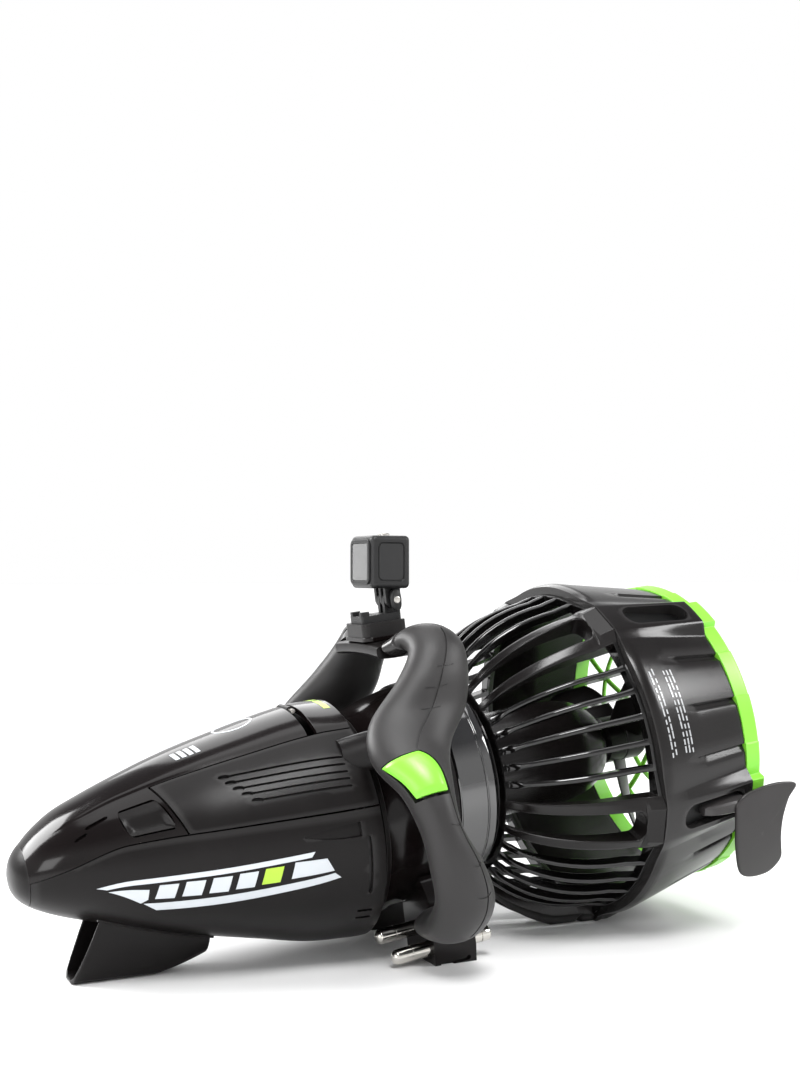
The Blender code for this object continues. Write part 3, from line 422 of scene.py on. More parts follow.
# ---- hull ----
HULL_REAR_U = 226.0
HATCH_U = 258.0
NOSE_U = 491.0
NOSE_CAP_U = 480.0
PANEL_FRONT_U = 387.0
PANEL_RAKE = 18.0
RIM_U = 231.0                         # the wall is thicker behind this
RIM_EXTRA = 5.0
REAR_ROWS = [HULL_REAR_U, 227.5, 230.9, 231.1]
WALL = 3.5
SEAM = 0.005                          # half the gap between two panels, as a share
SPINE_EDGE = 0.547
SPINE_SHARES = [SPINE_EDGE + SEAM] + spread(SPINE_EDGE + 0.012, 0.98, 26) + [1.0]
SPINE_RISE = 1.3
PRINT_TOP = 0.18
PRINT_FOOT = 0.02
RING_U = 305
SKID_WALL = 2.6
HULL_SECTIONS = [                     # u, centre height, half height, half width
    (152, 0.0, 84.0, 84.0), (199, -12.0, 90.0, 92.0), (226, -15.0, 96.5, 97.0),
    (250, -13.5, 95.5, 95.5), (269, -13.0, 93.0, 93.0), (310, -10.5, 83.5, 86.0),
    (347, -8.5, 74.5, 78.0), (373, -7.5, 67.5, 70.0), (401, -6.5, 58.5, 62.0),
    (430, -5.0, 48.0, 53.5), (451, -4.5, 40.5, 45.5), (468, -5.5, 31.5, 37.5),
    (480, -7.0, 22.5, 29.0), (486.5, -7.5, 15.5, 20.5), (490, -8.0, 8.0, 10.5),
    (NOSE_U, -8.0, 2.0, 2.2)]
PARTING_LINE = [(152, 8.0), (226, 9.5), (369, 12.0), (410, 11.0), (455, -1.0), (488, -10.0)]
LOUVRE_REAR_U = 243
LOUVRES = ((330.5, 0.343, 0.285), (326.5, 0.283, 0.236), (321.5, 0.226, 0.190),
           (315.5, 0.166, 0.144), (334.0, 0.405, 0.335))      # front u and share, rear share


def hull_skin(u, share, side, offset=0.0):
    """Point on the hull. share runs from -1 at the keel, 0 on the parting line, 1 on the spine."""
    centre, high, wide = curve(HULL_SECTIONS, u)
    parting = asin(clamp((curve(PARTING_LINE, u)[0] - centre) / high, -0.9, 0.9))
    if share < 0:
        angle = lerp(-pi / 2, parting, share + 1)
    else:
        angle = lerp(parting, pi / 2, share)
    return (u, side * (wide + offset) * cos(angle),
            centre + (high + offset) * sin(angle))


def raked(u, share):
    """Lean the rows near the side panels' front edge, from the parting line to the spine."""
    if share <= -0.001:
        return u
    reach = 1 - min(1.0, abs(u - PANEL_FRONT_U) / 60.0)
    return u - PANEL_RAKE * (1 - clamp(share / SPINE_EDGE)) * reach


def spine_lift(u, share):
    """The spine stands a little proud of the panels, and fades out toward the nose."""
    return SPINE_RISE * smooth_step((share - SPINE_EDGE) / 0.05) * smooth_step((470 - u) / 60)


def shell_layers(rows, shares, lift=None):
    """Outer and inner points of a walled sheet over the hull, with a thicker rear rim."""
    outer = [[hull_skin(raked(u, s), s, side, lift(u, s) if lift else 0.0)
              for s, side in shares] for u in rows]
    inner = [[hull_skin(raked(u, s), s, side, -WALL - (RIM_EXTRA if u < RIM_U else 0.0))
              for s, side in shares] for u in rows]
    return outer, inner


def both_sides(values):
    """Shares going up one side, over the last one, and down the other."""
    return [(s, 1) for s in values] + [(s, -1) for s in reversed(values[:-1])]


def share_width(u, share, millimetres):
    """Turn a distance across the hull into a share."""
    a = Vector(hull_skin(u, share, 1))
    b = Vector(hull_skin(u, share + 0.01, 1))
    return millimetres * 0.01 / (b - a).length


def hull_strip(side, start, end, half, depth, count=24, ends=0.08, bm=None):
    """Round-ended cutter sunk into the hull between two (u, share) points."""
    centre = line(start, end)
    return strip(lambda a, b, h: hull_skin(a, b, side, h), centre,
                 lambda t: share_width(*centre(t), capsule(t, half, ends)), depth, 1.0,
                 rounded_ends(count), bm=bm)


def print_patch(name, side, corners, material, body="hull", lift=0.0):
    """Thin printed patch over four (u, share) corners: rear low, rear high, front high, front
    low."""
    a, b, c, d = corners

    def layer(offset):
        return [[hull_skin(lerp(lerp(a[0], d[0], t), lerp(b[0], c[0], t), k),
                           lerp(lerp(a[1], d[1], t), lerp(b[1], c[1], t), k), side, offset)
                 for k in spread(0, 1, 9)] for t in spread(0, 1, 25)]

    dress(solid(name, grid_solid(layer(lift + PRINT_TOP), layer(lift + PRINT_FOOT))), body,
          material)


def build_hull():
    rows = REAR_ROWS + spread(235, NOSE_CAP_U - 0.4, 68)
    shares = both_sides([-SEAM] + spread(-0.03, -0.97, 44) + [-1.0])
    hull = solid("hull_shell", grid_solid(*shell_layers(rows, shares)))
    cutters = bmesh.new()
    for _, side in SIDES:
        # Shallow recess near the rear, deepest in its middle, with a pointed front end.
        strip(lambda a, b, h: hull_skin(a, b, side, h), line((243.5, -0.088), (288, -0.094)),
              lambda t: 0.030 * (1 - t ** 2.2) + 0.0015, lambda t: 2.4 * (1 - t) + 0.5, 1.0,
              rounded_ends(26), 5, cutters)
        # Upright slit behind the hull's shoulder.
        strip(lambda a, b, h: hull_skin(b, a, side, h), line((-0.12, 238.5), (-0.40, 238.5)),
              lambda t: capsule(t, 1.7, 0.08), 3.0, 1.0, rounded_ends(22), bm=cutters)
        # Pair of short cooling slots low at the rear.
        for share in (-0.50, -0.55):
            hull_strip(side, (234.5, share), (247, share), 1.3, 2.6, bm=cutters)
    carve(hull, cutters)
    dress(hull, "hull", SATIN, ["lower_hull"], rounding=0.6)

    rows = REAR_ROWS + spread(234, PANEL_FRONT_U - 1.5, 42)
    for name, side in SIDES:
        shares = [(s, side) for s in [SEAM] + spread(0.02, SPINE_EDGE - 0.02, 26)
                  + [SPINE_EDGE - SEAM]]
        panel = solid("louvre_panel_" + name, grid_solid(*shell_layers(rows, shares)))
        for u, share, rear_share in LOUVRES:
            carve(panel, hull_strip(side, (u, share), (LOUVRE_REAR_U, rear_share), 1.0, 2.2, 34,
                                    0.03))
            # A deeper pip at the front end of each slot.
            carve(panel, hull_strip(side, (u + 4.5, share + 0.006), (u - 4.5, share - 0.004), 2.1,
                                    2.9, 14, 0.4))
        dress(panel, "hull", SATIN, ["shoulder_panel_" + name], rounding=0.5)

    rows = REAR_ROWS + spread(233, HATCH_U - 4.0, 10)
    spine = shell_layers(rows, both_sides(SPINE_SHARES), spine_lift)
    dress(solid("rear_spine", grid_solid(*spine)), "hull", GLOSS,
          ["rear_top_cover"], rounding=0.6)
    for name, side in SIDES:
        print_patch("spine_label_" + name, side,
                    ((229.5, 0.79), (229.5, 0.985), (235, 0.985), (235, 0.79)), YELLOW,
                    lift=SPINE_RISE)


def build_hatch():
    tongue_rows = [HATCH_U + 4.0] + spread(HATCH_U + 6, PANEL_FRONT_U + 0.3, 40)
    rows = tongue_rows + spread(390, NOSE_CAP_U - 1, 32) + [NOSE_CAP_U]
    # The tongue and the nose share their spine columns, so they are one sheet of quads.
    below = [SEAM] + spread(0.02, SPINE_EDGE - 0.01, 22)
    shares = both_sides(below + SPINE_SHARES)
    first_spine = len(below)
    last_spine = len(shares) - 1 - len(below)
    bm, skin = open_grid(
        *shell_layers(rows, shares, spine_lift),
        lambda i, j: i < len(tongue_rows) - 1 and not first_spine <= j < last_spine, wrap=False)
    for face in bm.faces:
        face.material_index = 1
    for (_, j), face in skin.items():
        if first_spine - 1 <= j <= last_spine:
            face.material_index = 0
    cover = solid("hatch_shell", bm)
    cutters = bmesh.new()
    for _, side in SIDES:
        # Window of the latch, and two thin slits ahead of it.
        strip(lambda a, b, h: hull_skin(raked(a, b), b, side, h),
              line((389.2, 0.235), (417.5, 0.235)), lambda t: capsule(t, 0.168, 0.12), 6.0, 2.0,
              rounded_ends(24), 9, cutters)
        hull_strip(side, (420.5, 0.392), (437.5, 0.380), 1.5, 2.6, 20, 0.15, cutters)
        hull_strip(side, (437.0, 0.315), (446.5, 0.300), 1.3, 2.6, 16, 0.2, cutters)
    carve(cover, cutters)
    cover.data.materials.clear()
    cover.data.materials.append(GLOSS)
    cover.data.materials.append(SATIN)
    dress(cover, "hatch", GLOSS, ["hatch_cover"], rounding=0.5)


def build_nose_cap():
    """Closed cap over the nose."""
    rows = [NOSE_CAP_U, 481, 482.5, 484, 485.5, 487, 488.2, 489.2, 490, 490.6, NOSE_U]
    shares = both_sides([-1.0] + spread(-0.97, 0.97, 60) + [1.0])[:-1]
    bm = bmesh.new()
    top = vert_grid(bm, [[hull_skin(u, s, side) for s, side in shares] for u in rows])
    low = vert_grid(bm, [[hull_skin(u - (0 if u < 482 else WALL), s, side, -WALL)
                          for s, side in shares] for u in rows])
    for skin, flip in ((top, False), (low, True)):
        for near, far in zip(skin, skin[1:]):
            quads(bm, near, far, flip)
        bm.faces.new(skin[-1])
    for j, k in pairs(len(shares)):
        bm.faces.new((top[0][k], top[0][j], low[0][j], low[0][k]))
    dress(solid("nose_cap", bm), "hatch", SATIN, smooth=60)


def latch_dish(i, j):
    """Depth of a latch plate's dish at a cell, with a finger lip left along its foot."""
    edge = 1 - max(abs(i / 8 - 1), abs(j / 8 - 1))
    return 2.2 * smooth_step(edge / 0.3) * smooth_step((0.75 - j / 16) / 0.5)


def build_latches():
    for name, side in SIDES:
        layers = [[[hull_skin(raked(u, s), s, side, -depth(i, j))
                    for j, s in enumerate(spread(0.084, 0.386, 17))]
                   for i, u in enumerate(spread(390.1, 416.6, 17))]
                  for depth in (lambda i, j: 0.5 + latch_dish(i, j), lambda i, j: 4.6)]
        dress(solid("latch_plate_" + name, grid_solid(*layers)), "latch_" + name, SATIN,
              ["latch_" + name], rounding=0.4)
        # Plain bars printed on the spine.
        for k in range(4):
            near = 340.5 + 5.4 * k
            bar = ((near, 0.74), (near + 1.6, 0.87), (near + 5.0, 0.87), (near + 3.4, 0.74))
            print_patch("spine_bar_%d_%s" % (k + 1, name), side, bar, WHITE,
                        "hatch", lift=SPINE_RISE)


def build_spine_ring():
    """Plain printed ring across the spine."""
    def point(angle, reach, lift):
        u = RING_U + 1.15 * reach * cos(angle)
        along = reach * sin(angle)
        s = 1 - share_width(RING_U, 0.95, abs(along))
        return hull_skin(u, s, 1 if along >= 0 else -1, spine_lift(u, s) + lift)

    layers = [[[point(2 * pi * k / 72, reach, lift) for reach in (13.0, 14.6)]
               for k in range(73)] for lift in (PRINT_TOP, PRINT_FOOT)]
    dress(solid("spine_ring", grid_solid(*layers)), "hatch", WHITE, smooth=60)


def build_stripes():
    """Printed stripes on each side of the hull."""
    for name, side in SIDES:
        stripes = {
            "upper": ((284, -0.185), (281, -0.160), (437, -0.268), (430, -0.300)),
            "lower": ((262.5, -0.292), (267, -0.268), (405, -0.438), (396, -0.490)),
            "rear": ((267.5, -0.256), (272.5, -0.196), (296.5, -0.203), (300, -0.284)),
            "front": ((402, -0.400), (401, -0.322), (429, -0.322), (407, -0.436)),
        }
        for label, corners in stripes.items():
            print_patch("stripe_%s_%s" % (label, name), side, corners, WHITE)
        for k in range(5):
            start = 305 + 18.8 * k
            low = lerp(-0.292, -0.405, (start - 300) / 100)
            high = lerp(-0.212, -0.300, (start - 300) / 100)
            block = ((start + 3.5, low), (start, high), (start + 13.5, high - 0.008),
                     (start + 17, low - 0.010))
            print_patch("stripe_block_%d_%s" % (k + 1, name), side, block,
                        YELLOW if k == 0 else WHITE)


def hull_under(u, v):
    centre, high, wide = curve(HULL_SECTIONS, u)
    return centre - high * sqrt(max(0.0, 1 - (v / wide) ** 2))


def build_skid():
    outline = [(22.0, 0.0), (21.0, 0.35), (18.0, 0.72), (14.5, 0.93), (9.0, 1.0), (0.0, 1.0)]
    half = [(lerp(a[0], b[0], k / 4), lerp(a[1], b[1], k / 4))
            for a, b in zip(outline, outline[1:]) for k in range(4)] + [outline[-1]]
    outer = []
    inner = []
    for share in spread(0, 1, 41):
        top_u = lerp(432.0, 348.0, share)
        foot_u = lerp(456.0, 351.0, share)
        rise = clamp((394.0 - foot_u) / 43.0)
        foot = floor_w(foot_u) + 13.0 * rise ** 1.4
        near = []
        far = []
        for v, drop in half + [(-v, t) for v, t in reversed(half[:-1])]:
            u = lerp(top_u, foot_u, drop)
            wide = v * (1 - 0.12 * rise)
            near.append((u, wide, lerp(hull_under(top_u, wide) - 0.2, foot, drop)))
            slim = max(0.0, abs(wide) - SKID_WALL) * (1 if v > 0 else -1)
            far.append((u, slim, lerp(hull_under(top_u, slim) - 0.2, foot + SKID_WALL, drop)))
        outer.append(near)
        inner.append(far)
    skid = solid("nose_scoop", grid_solid(outer, inner))
    dress(skid, "hull", SATIN, ["nose_skid"], rounding=0.8, smooth=45)
    # Flange where the scoop meets the keel.
    rings = []
    for t in spread(0, 1, 13):
        u = lerp(434, 346, t)
        wide = lerp(26.5, 22.0, t)
        rings.append([(u, v, hull_under(u, v) + lift)
                      for v, lift in ((-wide, -0.3), (-wide + 2, -1.8), (wide - 2, -1.8),
                                      (wide, -0.3), (wide - 3, 1.2), (-wide + 3, 1.2))])
    dress(solid("scoop_flange", loft(rings)), "hull", SATIN, rounding=0.4)


# ---- drive line ----
NECK_REAR_U = 151.3
NECK_FRONT_U = 235
NECK_ROWS = [(NECK_REAR_U, 0.3), (180, 2.5), (205, 8.0), (222, 9.2), (NECK_FRONT_U, 9.2)]
CAN_RADIUS = 85.0
CAN_FRONT_U = 151.0
CAN_BORE = 16.4
POD_RADIUS = 45.0
POD_TAIL_U = -33.0
BLADES = 3
BLADE_U = -58


def neck_ring(u, inset, columns=72):
    centre, high, wide = curve(HULL_SECTIONS, u)
    shrink = curve(NECK_ROWS, u)[0] + inset
    return [(u, (wide - shrink) * cos(a), centre + (high - shrink) * sin(a))
            for a in circle(columns)]


def build_drive():
    rows = spread(NECK_REAR_U, NECK_FRONT_U, 30)
    neck = solid("neck", grid_solid([neck_ring(u, 0) for u in rows],
                                    [neck_ring(u, 4) for u in rows], wrap=True))
    dress(neck, "hull", GLOSS, ["neck_shell"], rounding=0.5)
    # Collars round the neck, where it meets the hull and the can.
    for label, low, high in (("rear", 152.5, 158.5), ("front", 217.0, 222.0)):
        rows = ((low, 0.2), (low + 0.8, 1.3), (high - 0.8, 1.3), (high, 0.2))
        bm = grid_solid([neck_ring(u, -swell, 96) for u, swell in rows],
                        [neck_ring(u, 1.0, 96) for u, _ in rows], wrap=True)
        dress(solid("neck_collar_" + label, bm), "hull", SATIN, rounding=0.3)

    profile = [(CAN_FRONT_U, 81), (CAN_FRONT_U, CAN_RADIUS - 1), (150, CAN_RADIUS),
               (127, CAN_RADIUS), (126.4, CAN_RADIUS - 0.8), (125.6, CAN_RADIUS - 0.8),
               (125, CAN_RADIUS), (119.5, CAN_RADIUS), (118, CAN_RADIUS - 1), (115, 81),
               (115, 60), (116, 58), (116, 50), (115, 48), (115, CAN_BORE), (121, CAN_BORE),
               (121, 81)]
    dress(solid("can_shell", turned(profile, 144)), "hull", DRUM, ["motor_can"],
          rounding=0.35)
    dome = [(13 - 46 * sin(a), 14 + 31 * cos(a)) for a in quarter(14)]
    profile = [(114.7, 41), (114.7, 44), (113.7, POD_RADIUS), (96, POD_RADIUS), (95, 44.2),
               (93, 44.2), (92, POD_RADIUS), *dome, (POD_TAIL_U, 14.4), (12, 14.4), (20, 16.4),
               (28, 16.4), (28, 41)]
    dress(solid("pod_shell", turned(profile, 96)), "hull", BAND, ["motor_pod"],
          rounding=0.4)

    profile = [(-36, 6.3), (-36, 17.2), (-36.8, 18), (-39, 20.5), (-55, 20.5), (-55.5, 20.0),
               (-57, 20.0), (-57.5, 20.5), (-74, 20.5), (-78, 18.6), (-80, 17), (-80, 6.3)]
    screw = solid("propeller_wheel", turned(profile, 72))
    blades = bmesh.new()
    for k in range(BLADES):
        turn = 2 * pi * k / BLADES + 0.6
        loft([blade_ring(r, turn) for r in [15] + spread(20, 112, 26) + [114.5, 115.6, 116]],
             blades)
    carve(screw, blades, "UNION")
    dress(screw, "rotor", SATIN, ["propeller"], rounding=0.2, smooth=50)
    cone = [(-80.3 - 15.7 * sin(a), 14 * cos(a)) for a in quarter(10)[1:]]
    dress(solid("propeller_cone", turned([(-80.3, 0), (-80.3, 14), *cone, (-96, 0)], 48)),
          "rotor", SATIN, ["propeller_nut"])


def polar(u, radius, degrees):
    angle = radians(degrees)
    return (u, radius * cos(angle), radius * sin(angle))


def blade_ring(radius, turn):
    """Section of one blade: a thin foil set at the blade's pitch."""
    share = (radius - 16) / 100
    chord = lerp(26, 44, sin(pi * min(1.0, max(0.0, share) * 0.95 + 0.05)))
    chord *= sqrt(max(0.12, 1 - max(0.0, (share - 0.7) / 0.3) ** 2))
    pitch = radians(lerp(52, 24, share))
    thick = lerp(3.2, 1.3, share)
    sweep = radians(16 * share ** 2)
    ring = []
    for angle in circle(20):
        along = -0.5 * cos(angle) * chord
        # The pressure side is the flatter one.
        up = sin(angle) * thick * (1.0 if sin(angle) > 0 else 0.6)
        arc = (along * cos(pitch) - up * sin(pitch)) / radius
        ring.append((BLADE_U + (along * sin(pitch) + up * cos(pitch)),
                     radius * cos(turn + sweep + arc), radius * sin(turn + sweep + arc)))
    return ring


# ---- duct, cage and guard ----
ARM_FIRST = -90.0
ARMS = 5
STEP = 360.0 / ARMS
ARM_HALF = 5.8
ARM_FLANK = 4.5
ARM_RISE = 9.0
DUCT_LENGTH = 97.0
DUCT_REAR_RADIUS = 131.5
DUCT_WALL = 5.0
SEAT_RADIUS = 134.0                   # where the cage sits in the duct
EDGE_CURL = 3.6
FLUTES = (18.5, 36.0, 53.5)           # angles after an arm
FLUTE_DEPTH = 3.6
POCKET_FRONT_U = -23.2
POCKET_REAR_U = -88.0
POCKET_DEPTH = 3.2
CAGE_LENGTH = 112.0
RAIL_IN = 5.2                         # angles between which a rail of an arm lies
RAIL_OUT = 9.5
ARM_EDGE = 9.6
WINDOW_U = 14                         # rear end of the window between two rails
RIBS = 5
RIB_PITCH = 8.8
RIB_HALF = 1.05
RIB_REAR_U = 3                        # ends of the gaps between ribs
RIB_FRONT_U = 110
SPOKES = 15


def arm_off(degrees):
    """Angle to the nearest arm's middle."""
    return abs((degrees - ARM_FIRST + STEP / 2) % STEP - STEP / 2)


def arm_share(degrees, flank=ARM_FLANK):
    """1 over an arm, falling to 0 across its flanks."""
    return clamp((ARM_HALF + flank - arm_off(degrees)) / flank)


def on_foot_arm(degrees):
    return abs((degrees - ARM_FIRST + 180) % 360 - 180) < STEP / 2


def duct_radius(u):
    return lerp(150.0, DUCT_REAR_RADIUS, clamp(-u / DUCT_LENGTH))


def above_floor(u, radius, degrees):
    """Cut a radius short where it would reach below the floor."""
    down = -sin(radians(degrees))
    return min(radius, -floor_w(u) / down) if down > 0.3 else radius


def arm_angles(local):
    """Angles given after one arm, repeated for every arm."""
    return [ARM_FIRST + STEP * k + a for k in range(ARMS) for a in local]


def polar_grid(rows, angles, radius, turned_to=lambda u, degrees: degrees):
    return [[polar(u, radius(u, a), turned_to(u, a)) for a in angles] for u in rows]


def front_curl(u):
    """How far the band curls in at its front edge."""
    return EDGE_CURL * (1 - clamp(-u / 11)) ** 2


def build_duct():
    rows = [-0.3, -1.0, -2.2, -3.6, -5.8, -6.2, -8, -10, -15, -20, -22.6, POCKET_FRONT_U, -24.2,
            -30, -40, -48, -50, -53, -57, -62, -70, -80, -87.2, POCKET_REAR_U, -88.8, -93, -96.3,
            -DUCT_LENGTH]
    arm = [2.0, 3.6, 4.0, 4.6, 5.2, ARM_HALF, 6.6, 8.0, 9.4, ARM_HALF + ARM_FLANK]
    local = [-a for a in reversed(arm)] + [0.0] + arm + [12, 14]
    for flute in FLUTES:
        local += [flute + step for step in (-3.0, -2.0, -1.0, 0.0, 0.45, 2.0, 5.0, 8.5, 11.5)]
    angles = arm_angles([a for a in local if a < STEP - arm[-1]])

    def outside(u, degrees):
        share = arm_share(degrees)
        rise = ARM_RISE if on_foot_arm(degrees) else lerp(1.0, ARM_RISE, clamp(-u / DUCT_LENGTH))
        rise *= smooth_step(share) * 0.6 + share * 0.4
        # Flutes that open toward the rear edge, each with one steep side.
        place = (degrees - ARM_FIRST) % STEP
        for flute in FLUTES:
            if -3.0 < place - flute < 0.2:
                rise -= FLUTE_DEPTH * smooth_step((-44 - u) / 6) * (1 + (place - flute) / 3.0)
        rise -= front_curl(u) * (1 - smooth_step(arm_share(degrees, 11.0)))
        return above_floor(u, duct_radius(u) + rise, degrees)

    def inside(u, degrees):
        return SEAT_RADIUS if u > -6.0 else duct_radius(u) - DUCT_WALL

    band = solid("duct_shell", grid_solid(polar_grid(rows, angles, outside),
                                          polar_grid(rows, angles, inside), wrap=True))
    for k in range(1, ARMS):
        # A deep pocket in the rail of each arm but the foot's, with a thin dark sheet at its floor
        # as painted shade.
        degrees = ARM_FIRST + STEP * k
        pocket = (lambda a, b, h: polar(a, duct_radius(a) + h, b),
                  line((POCKET_FRONT_U + 2, degrees), (POCKET_REAR_U, degrees)),
                  lambda t: capsule(t, 4.3, 0.17))
        carve(band, strip(*pocket, POCKET_DEPTH, 14.0, rounded_ends(40), 9))
        # Thin dark sheet at the pocket's floor: painted shade.
        shade_sheet = strip(*pocket, POCKET_DEPTH + 0.05, 0.5 - POCKET_DEPTH, rounded_ends(40), 9)
        dress(solid("pocket_painted_shade_%d" % k, shade_sheet), "hull", DARK)
    slits = bmesh.new()
    for low, high in ((-20, -30), (-66, -76)):
        strip(lambda a, b, h: polar(a, duct_radius(a) + 2 + h, b),
              line((low, ARM_FIRST), (high, ARM_FIRST)), lambda t: capsule(t, 0.9, 0.12), 3.0,
              14.0, rounded_ends(14), bm=slits)
    carve(band, slits)
    dress(band, "hull", BAND, ["duct_band"], rounding=0.5, smooth=30)
    # Rows of plain dashes, where the band carries its small print.
    for name, middle, way in (("port", 0.0, 1), ("starboard", 180.0, -1)):
        bm = bmesh.new()
        for index, u in enumerate((-11.5, -15.5, -27.0, -31.0, -35.0)):
            for k in range(11):
                low = 3.0 + 2.6 * k + (index * 7 % 4) * 0.2
                high = low + 1.5 + (index * 5 + k * 3) % 4 * 0.3
                strip(lambda a, b, h: polar(b, duct_radius(b) - front_curl(b) + h,
                                            middle + way * a),
                      line((low, u), (high, u)), lambda t: 0.75, -0.02, 0.22, spread(0, 1, 4),
                      bm=bm)
        dress(solid("band_print_" + name, bm), "hull", PALE)


def cage_radius(u):
    reach = clamp(u / CAGE_LENGTH)
    return 78 + 58 * (1 - reach ** 2.2) ** 0.625 + 4 * (1 - clamp(u / 20))


def build_cage():
    rows = [114.5, 113.6, 112.0, 110.5, 110, 108.8, 107, 104, 101, 98, 92, 84, 75, 65, 54, 42,
            30, 22, 20, 18.5, 17, 15.6, 14.6, 14, 12, 7, 3.5, 3, 1, 0]
    rail = [RAIL_IN, 5.7, 6.6, 8.1, 9.0, RAIL_OUT]
    local = [-a for a in reversed(rail)] + rail
    middles = [STEP / 2 + RIB_PITCH * (k - (RIBS - 1) / 2) for k in range(RIBS)]
    rib_cells = set()
    steps = (-RIB_HALF, -0.6, -0.2, 0.2, 0.6, RIB_HALF)
    for middle in middles:
        rib_cells.update(range(len(local), len(local) + len(steps) - 1))
        local += [middle + step for step in steps]
    angles = arm_angles(local)

    def after_arm(degrees):
        return (degrees - ARM_FIRST + 12.0) % STEP - 12.0

    def turned_to(u, degrees):
        """Angle of a column, which widens at the ribs' roots and closes the arms' windows."""
        at = after_arm(degrees)
        if abs(at) < ARM_EDGE:
            inner = RAIL_IN
            if u >= WINDOW_U:
                inner *= sqrt(max(0.004, 1 - clamp((20 - u) / 6) ** 2))
            off = RAIL_OUT - (RAIL_OUT - abs(at)) * (RAIL_OUT - inner) / (RAIL_OUT - RAIL_IN)
            return degrees + (copysign(off, at) - at)
        middle = min(middles, key=lambda m: abs(at - m))
        return degrees + (at - middle) * (0.8 * smooth_step((u - 99) / 5))

    def outside(u, degrees):
        off = arm_off(degrees)
        behind = clamp((CAGE_LENGTH - u) / CAGE_LENGTH)
        reach = 16.0 * min(1.0, behind * 1.6) if on_foot_arm(degrees) else 11.0 * behind ** 2
        if off < ARM_EDGE:
            rise = reach * (0.35 + 0.65 * arm_share(degrees))
            rise -= 1.5 * (max(0.0, 0.5 - (off - RAIL_IN)) + max(0.0, off - 9.0))
        else:
            rise = 1.6 * smooth_step((u - 99) / 5) * smooth_step((110.2 - u) / 0.4)
            if 5 < u < RIB_FRONT_U:
                near = min(abs(after_arm(degrees) - m) for m in middles)
                rise -= 1.3 * clamp(near / RIB_HALF) ** 2.5
        return above_floor(u, cage_radius(u) + rise, degrees)

    def inside(u, degrees):
        return cage_radius(u) - lerp(4.5, 8.0, clamp((CAGE_LENGTH - u) / 30))

    window = len(rail) - 1

    def is_open(i, j):
        j %= len(local)
        if not RIB_REAR_U < rows[i] <= RIB_FRONT_U:
            return False
        if j == window:
            return rows[i] > WINDOW_U
        return j > 2 * window and j not in rib_cells

    bm, _ = open_grid(polar_grid(rows, angles, outside, turned_to),
                      polar_grid(rows, angles, inside, turned_to), is_open)
    for face in bm.faces:
        middle = face.calc_center_median()
        if arm_off(in_degrees(atan2(middle.z, middle.y))) < ARM_EDGE:
            face.material_index = 1
    cage = solid("cage_shell", bm)
    cage.data.materials.append(CAGE)
    cage.data.materials.append(BAND)
    dress(cage, "hull", CAGE, ["intake_cage"], rounding=0.45, smooth=36)


def build_guard():
    front = -DUCT_LENGTH - 0.3
    rear = front - 15.0
    rim = DUCT_REAR_RADIUS - DUCT_WALL
    teeth = (6.8,) + FLUTES + (65.2,)
    local = [-6.8, -6.5, -6.2, -ARM_HALF, -3, 0, 3, ARM_HALF, 6.2, 6.5, 6.8]
    for low, high in zip(teeth, teeth[1:]):
        local += [low + 0.3] + spread(low + 2.5, high - 2.5, 6) + [high]
    local.remove(teeth[-1])

    def outside(u, degrees):
        rounded = 1.6 * (1 - min(1.0, (u - rear) / 2.5)) ** 2
        lift = 1.0 + 6.0 * smooth_step(arm_share(degrees, 1.0))
        # Each stretch between two flutes stands a little prouder toward its far end.
        at = (degrees - ARM_FIRST) % STEP
        for low, high in zip(teeth, teeth[1:]):
            if low < at <= high:
                lift += 0.9 * (at - low) / (high - low)
        return above_floor(u, DUCT_REAR_RADIUS + lift - rounded, degrees)

    rows = [front, -99, -103, -107, -109, -110.5, -111.5, rear]
    angles = arm_angles(local)
    guard = grid_solid(polar_grid(rows, angles, outside),
                       polar_grid(rows, angles, lambda u, degrees: rim), wrap=True)
    dress(solid("guard_rim", guard), "hull", LIME, ["rear_guard"], rounding=0.4)

    # Spoked grille: round-edged hoops and tapering spokes.
    bm = bmesh.new()
    turned([(rear + 1, 0), (rear + 1, 20), (rear + 2, 22), (rear + 4.5, 22), (rear + 5.5, 19),
            (rear + 6, 0)], 72, bm=bm)
    for radius, half in ((58, 2.2), (93, 1.8)):
        turned([(rear + 3 + 2.2 * cos(a), radius + half * sin(a)) for a in circle(12)], 120,
               bm=bm)
    for k in range(SPOKES):
        rings = []
        for radius in spread(18, rim + 1.0, 14):
            wide = lerp(2.1, 2.9, radius / rim) * (1 + 0.5 * smooth_step((radius - rim + 9) / 9))
            turn = radians(ARM_FIRST + 360.0 / SPOKES * k + 5.0 * sin(pi * radius / rim))
            rings.append([(rear + 3.2 + 2.0 * sin(a),
                           radius * cos(turn) - wide * cos(a) * sin(turn),
                           radius * sin(turn) + wide * cos(a) * cos(turn)) for a in circle(10)])
        loft(rings, bm)
    dress(solid("guard_spokes", bm), "hull", LIME, smooth=60)


FIN_OUTLINE = [                       # u, drop below the root
    (-79, -9), (-72.5, -2), (-72.5, 8), (-73.5, 19), (-75.5, 34), (-80, 51), (-86, 65),
    (-94, 72), (-107, 75), (-121, 73), (-130, 62), (-127.5, 48), (-125, 36), (-124.5, 18),
    (-129, 0), (-135.5, -9), (-122.5, -13), (-107, -14), (-89, -12)]
FIN_THICK = 3.2
FIN_MIDDLE = 30


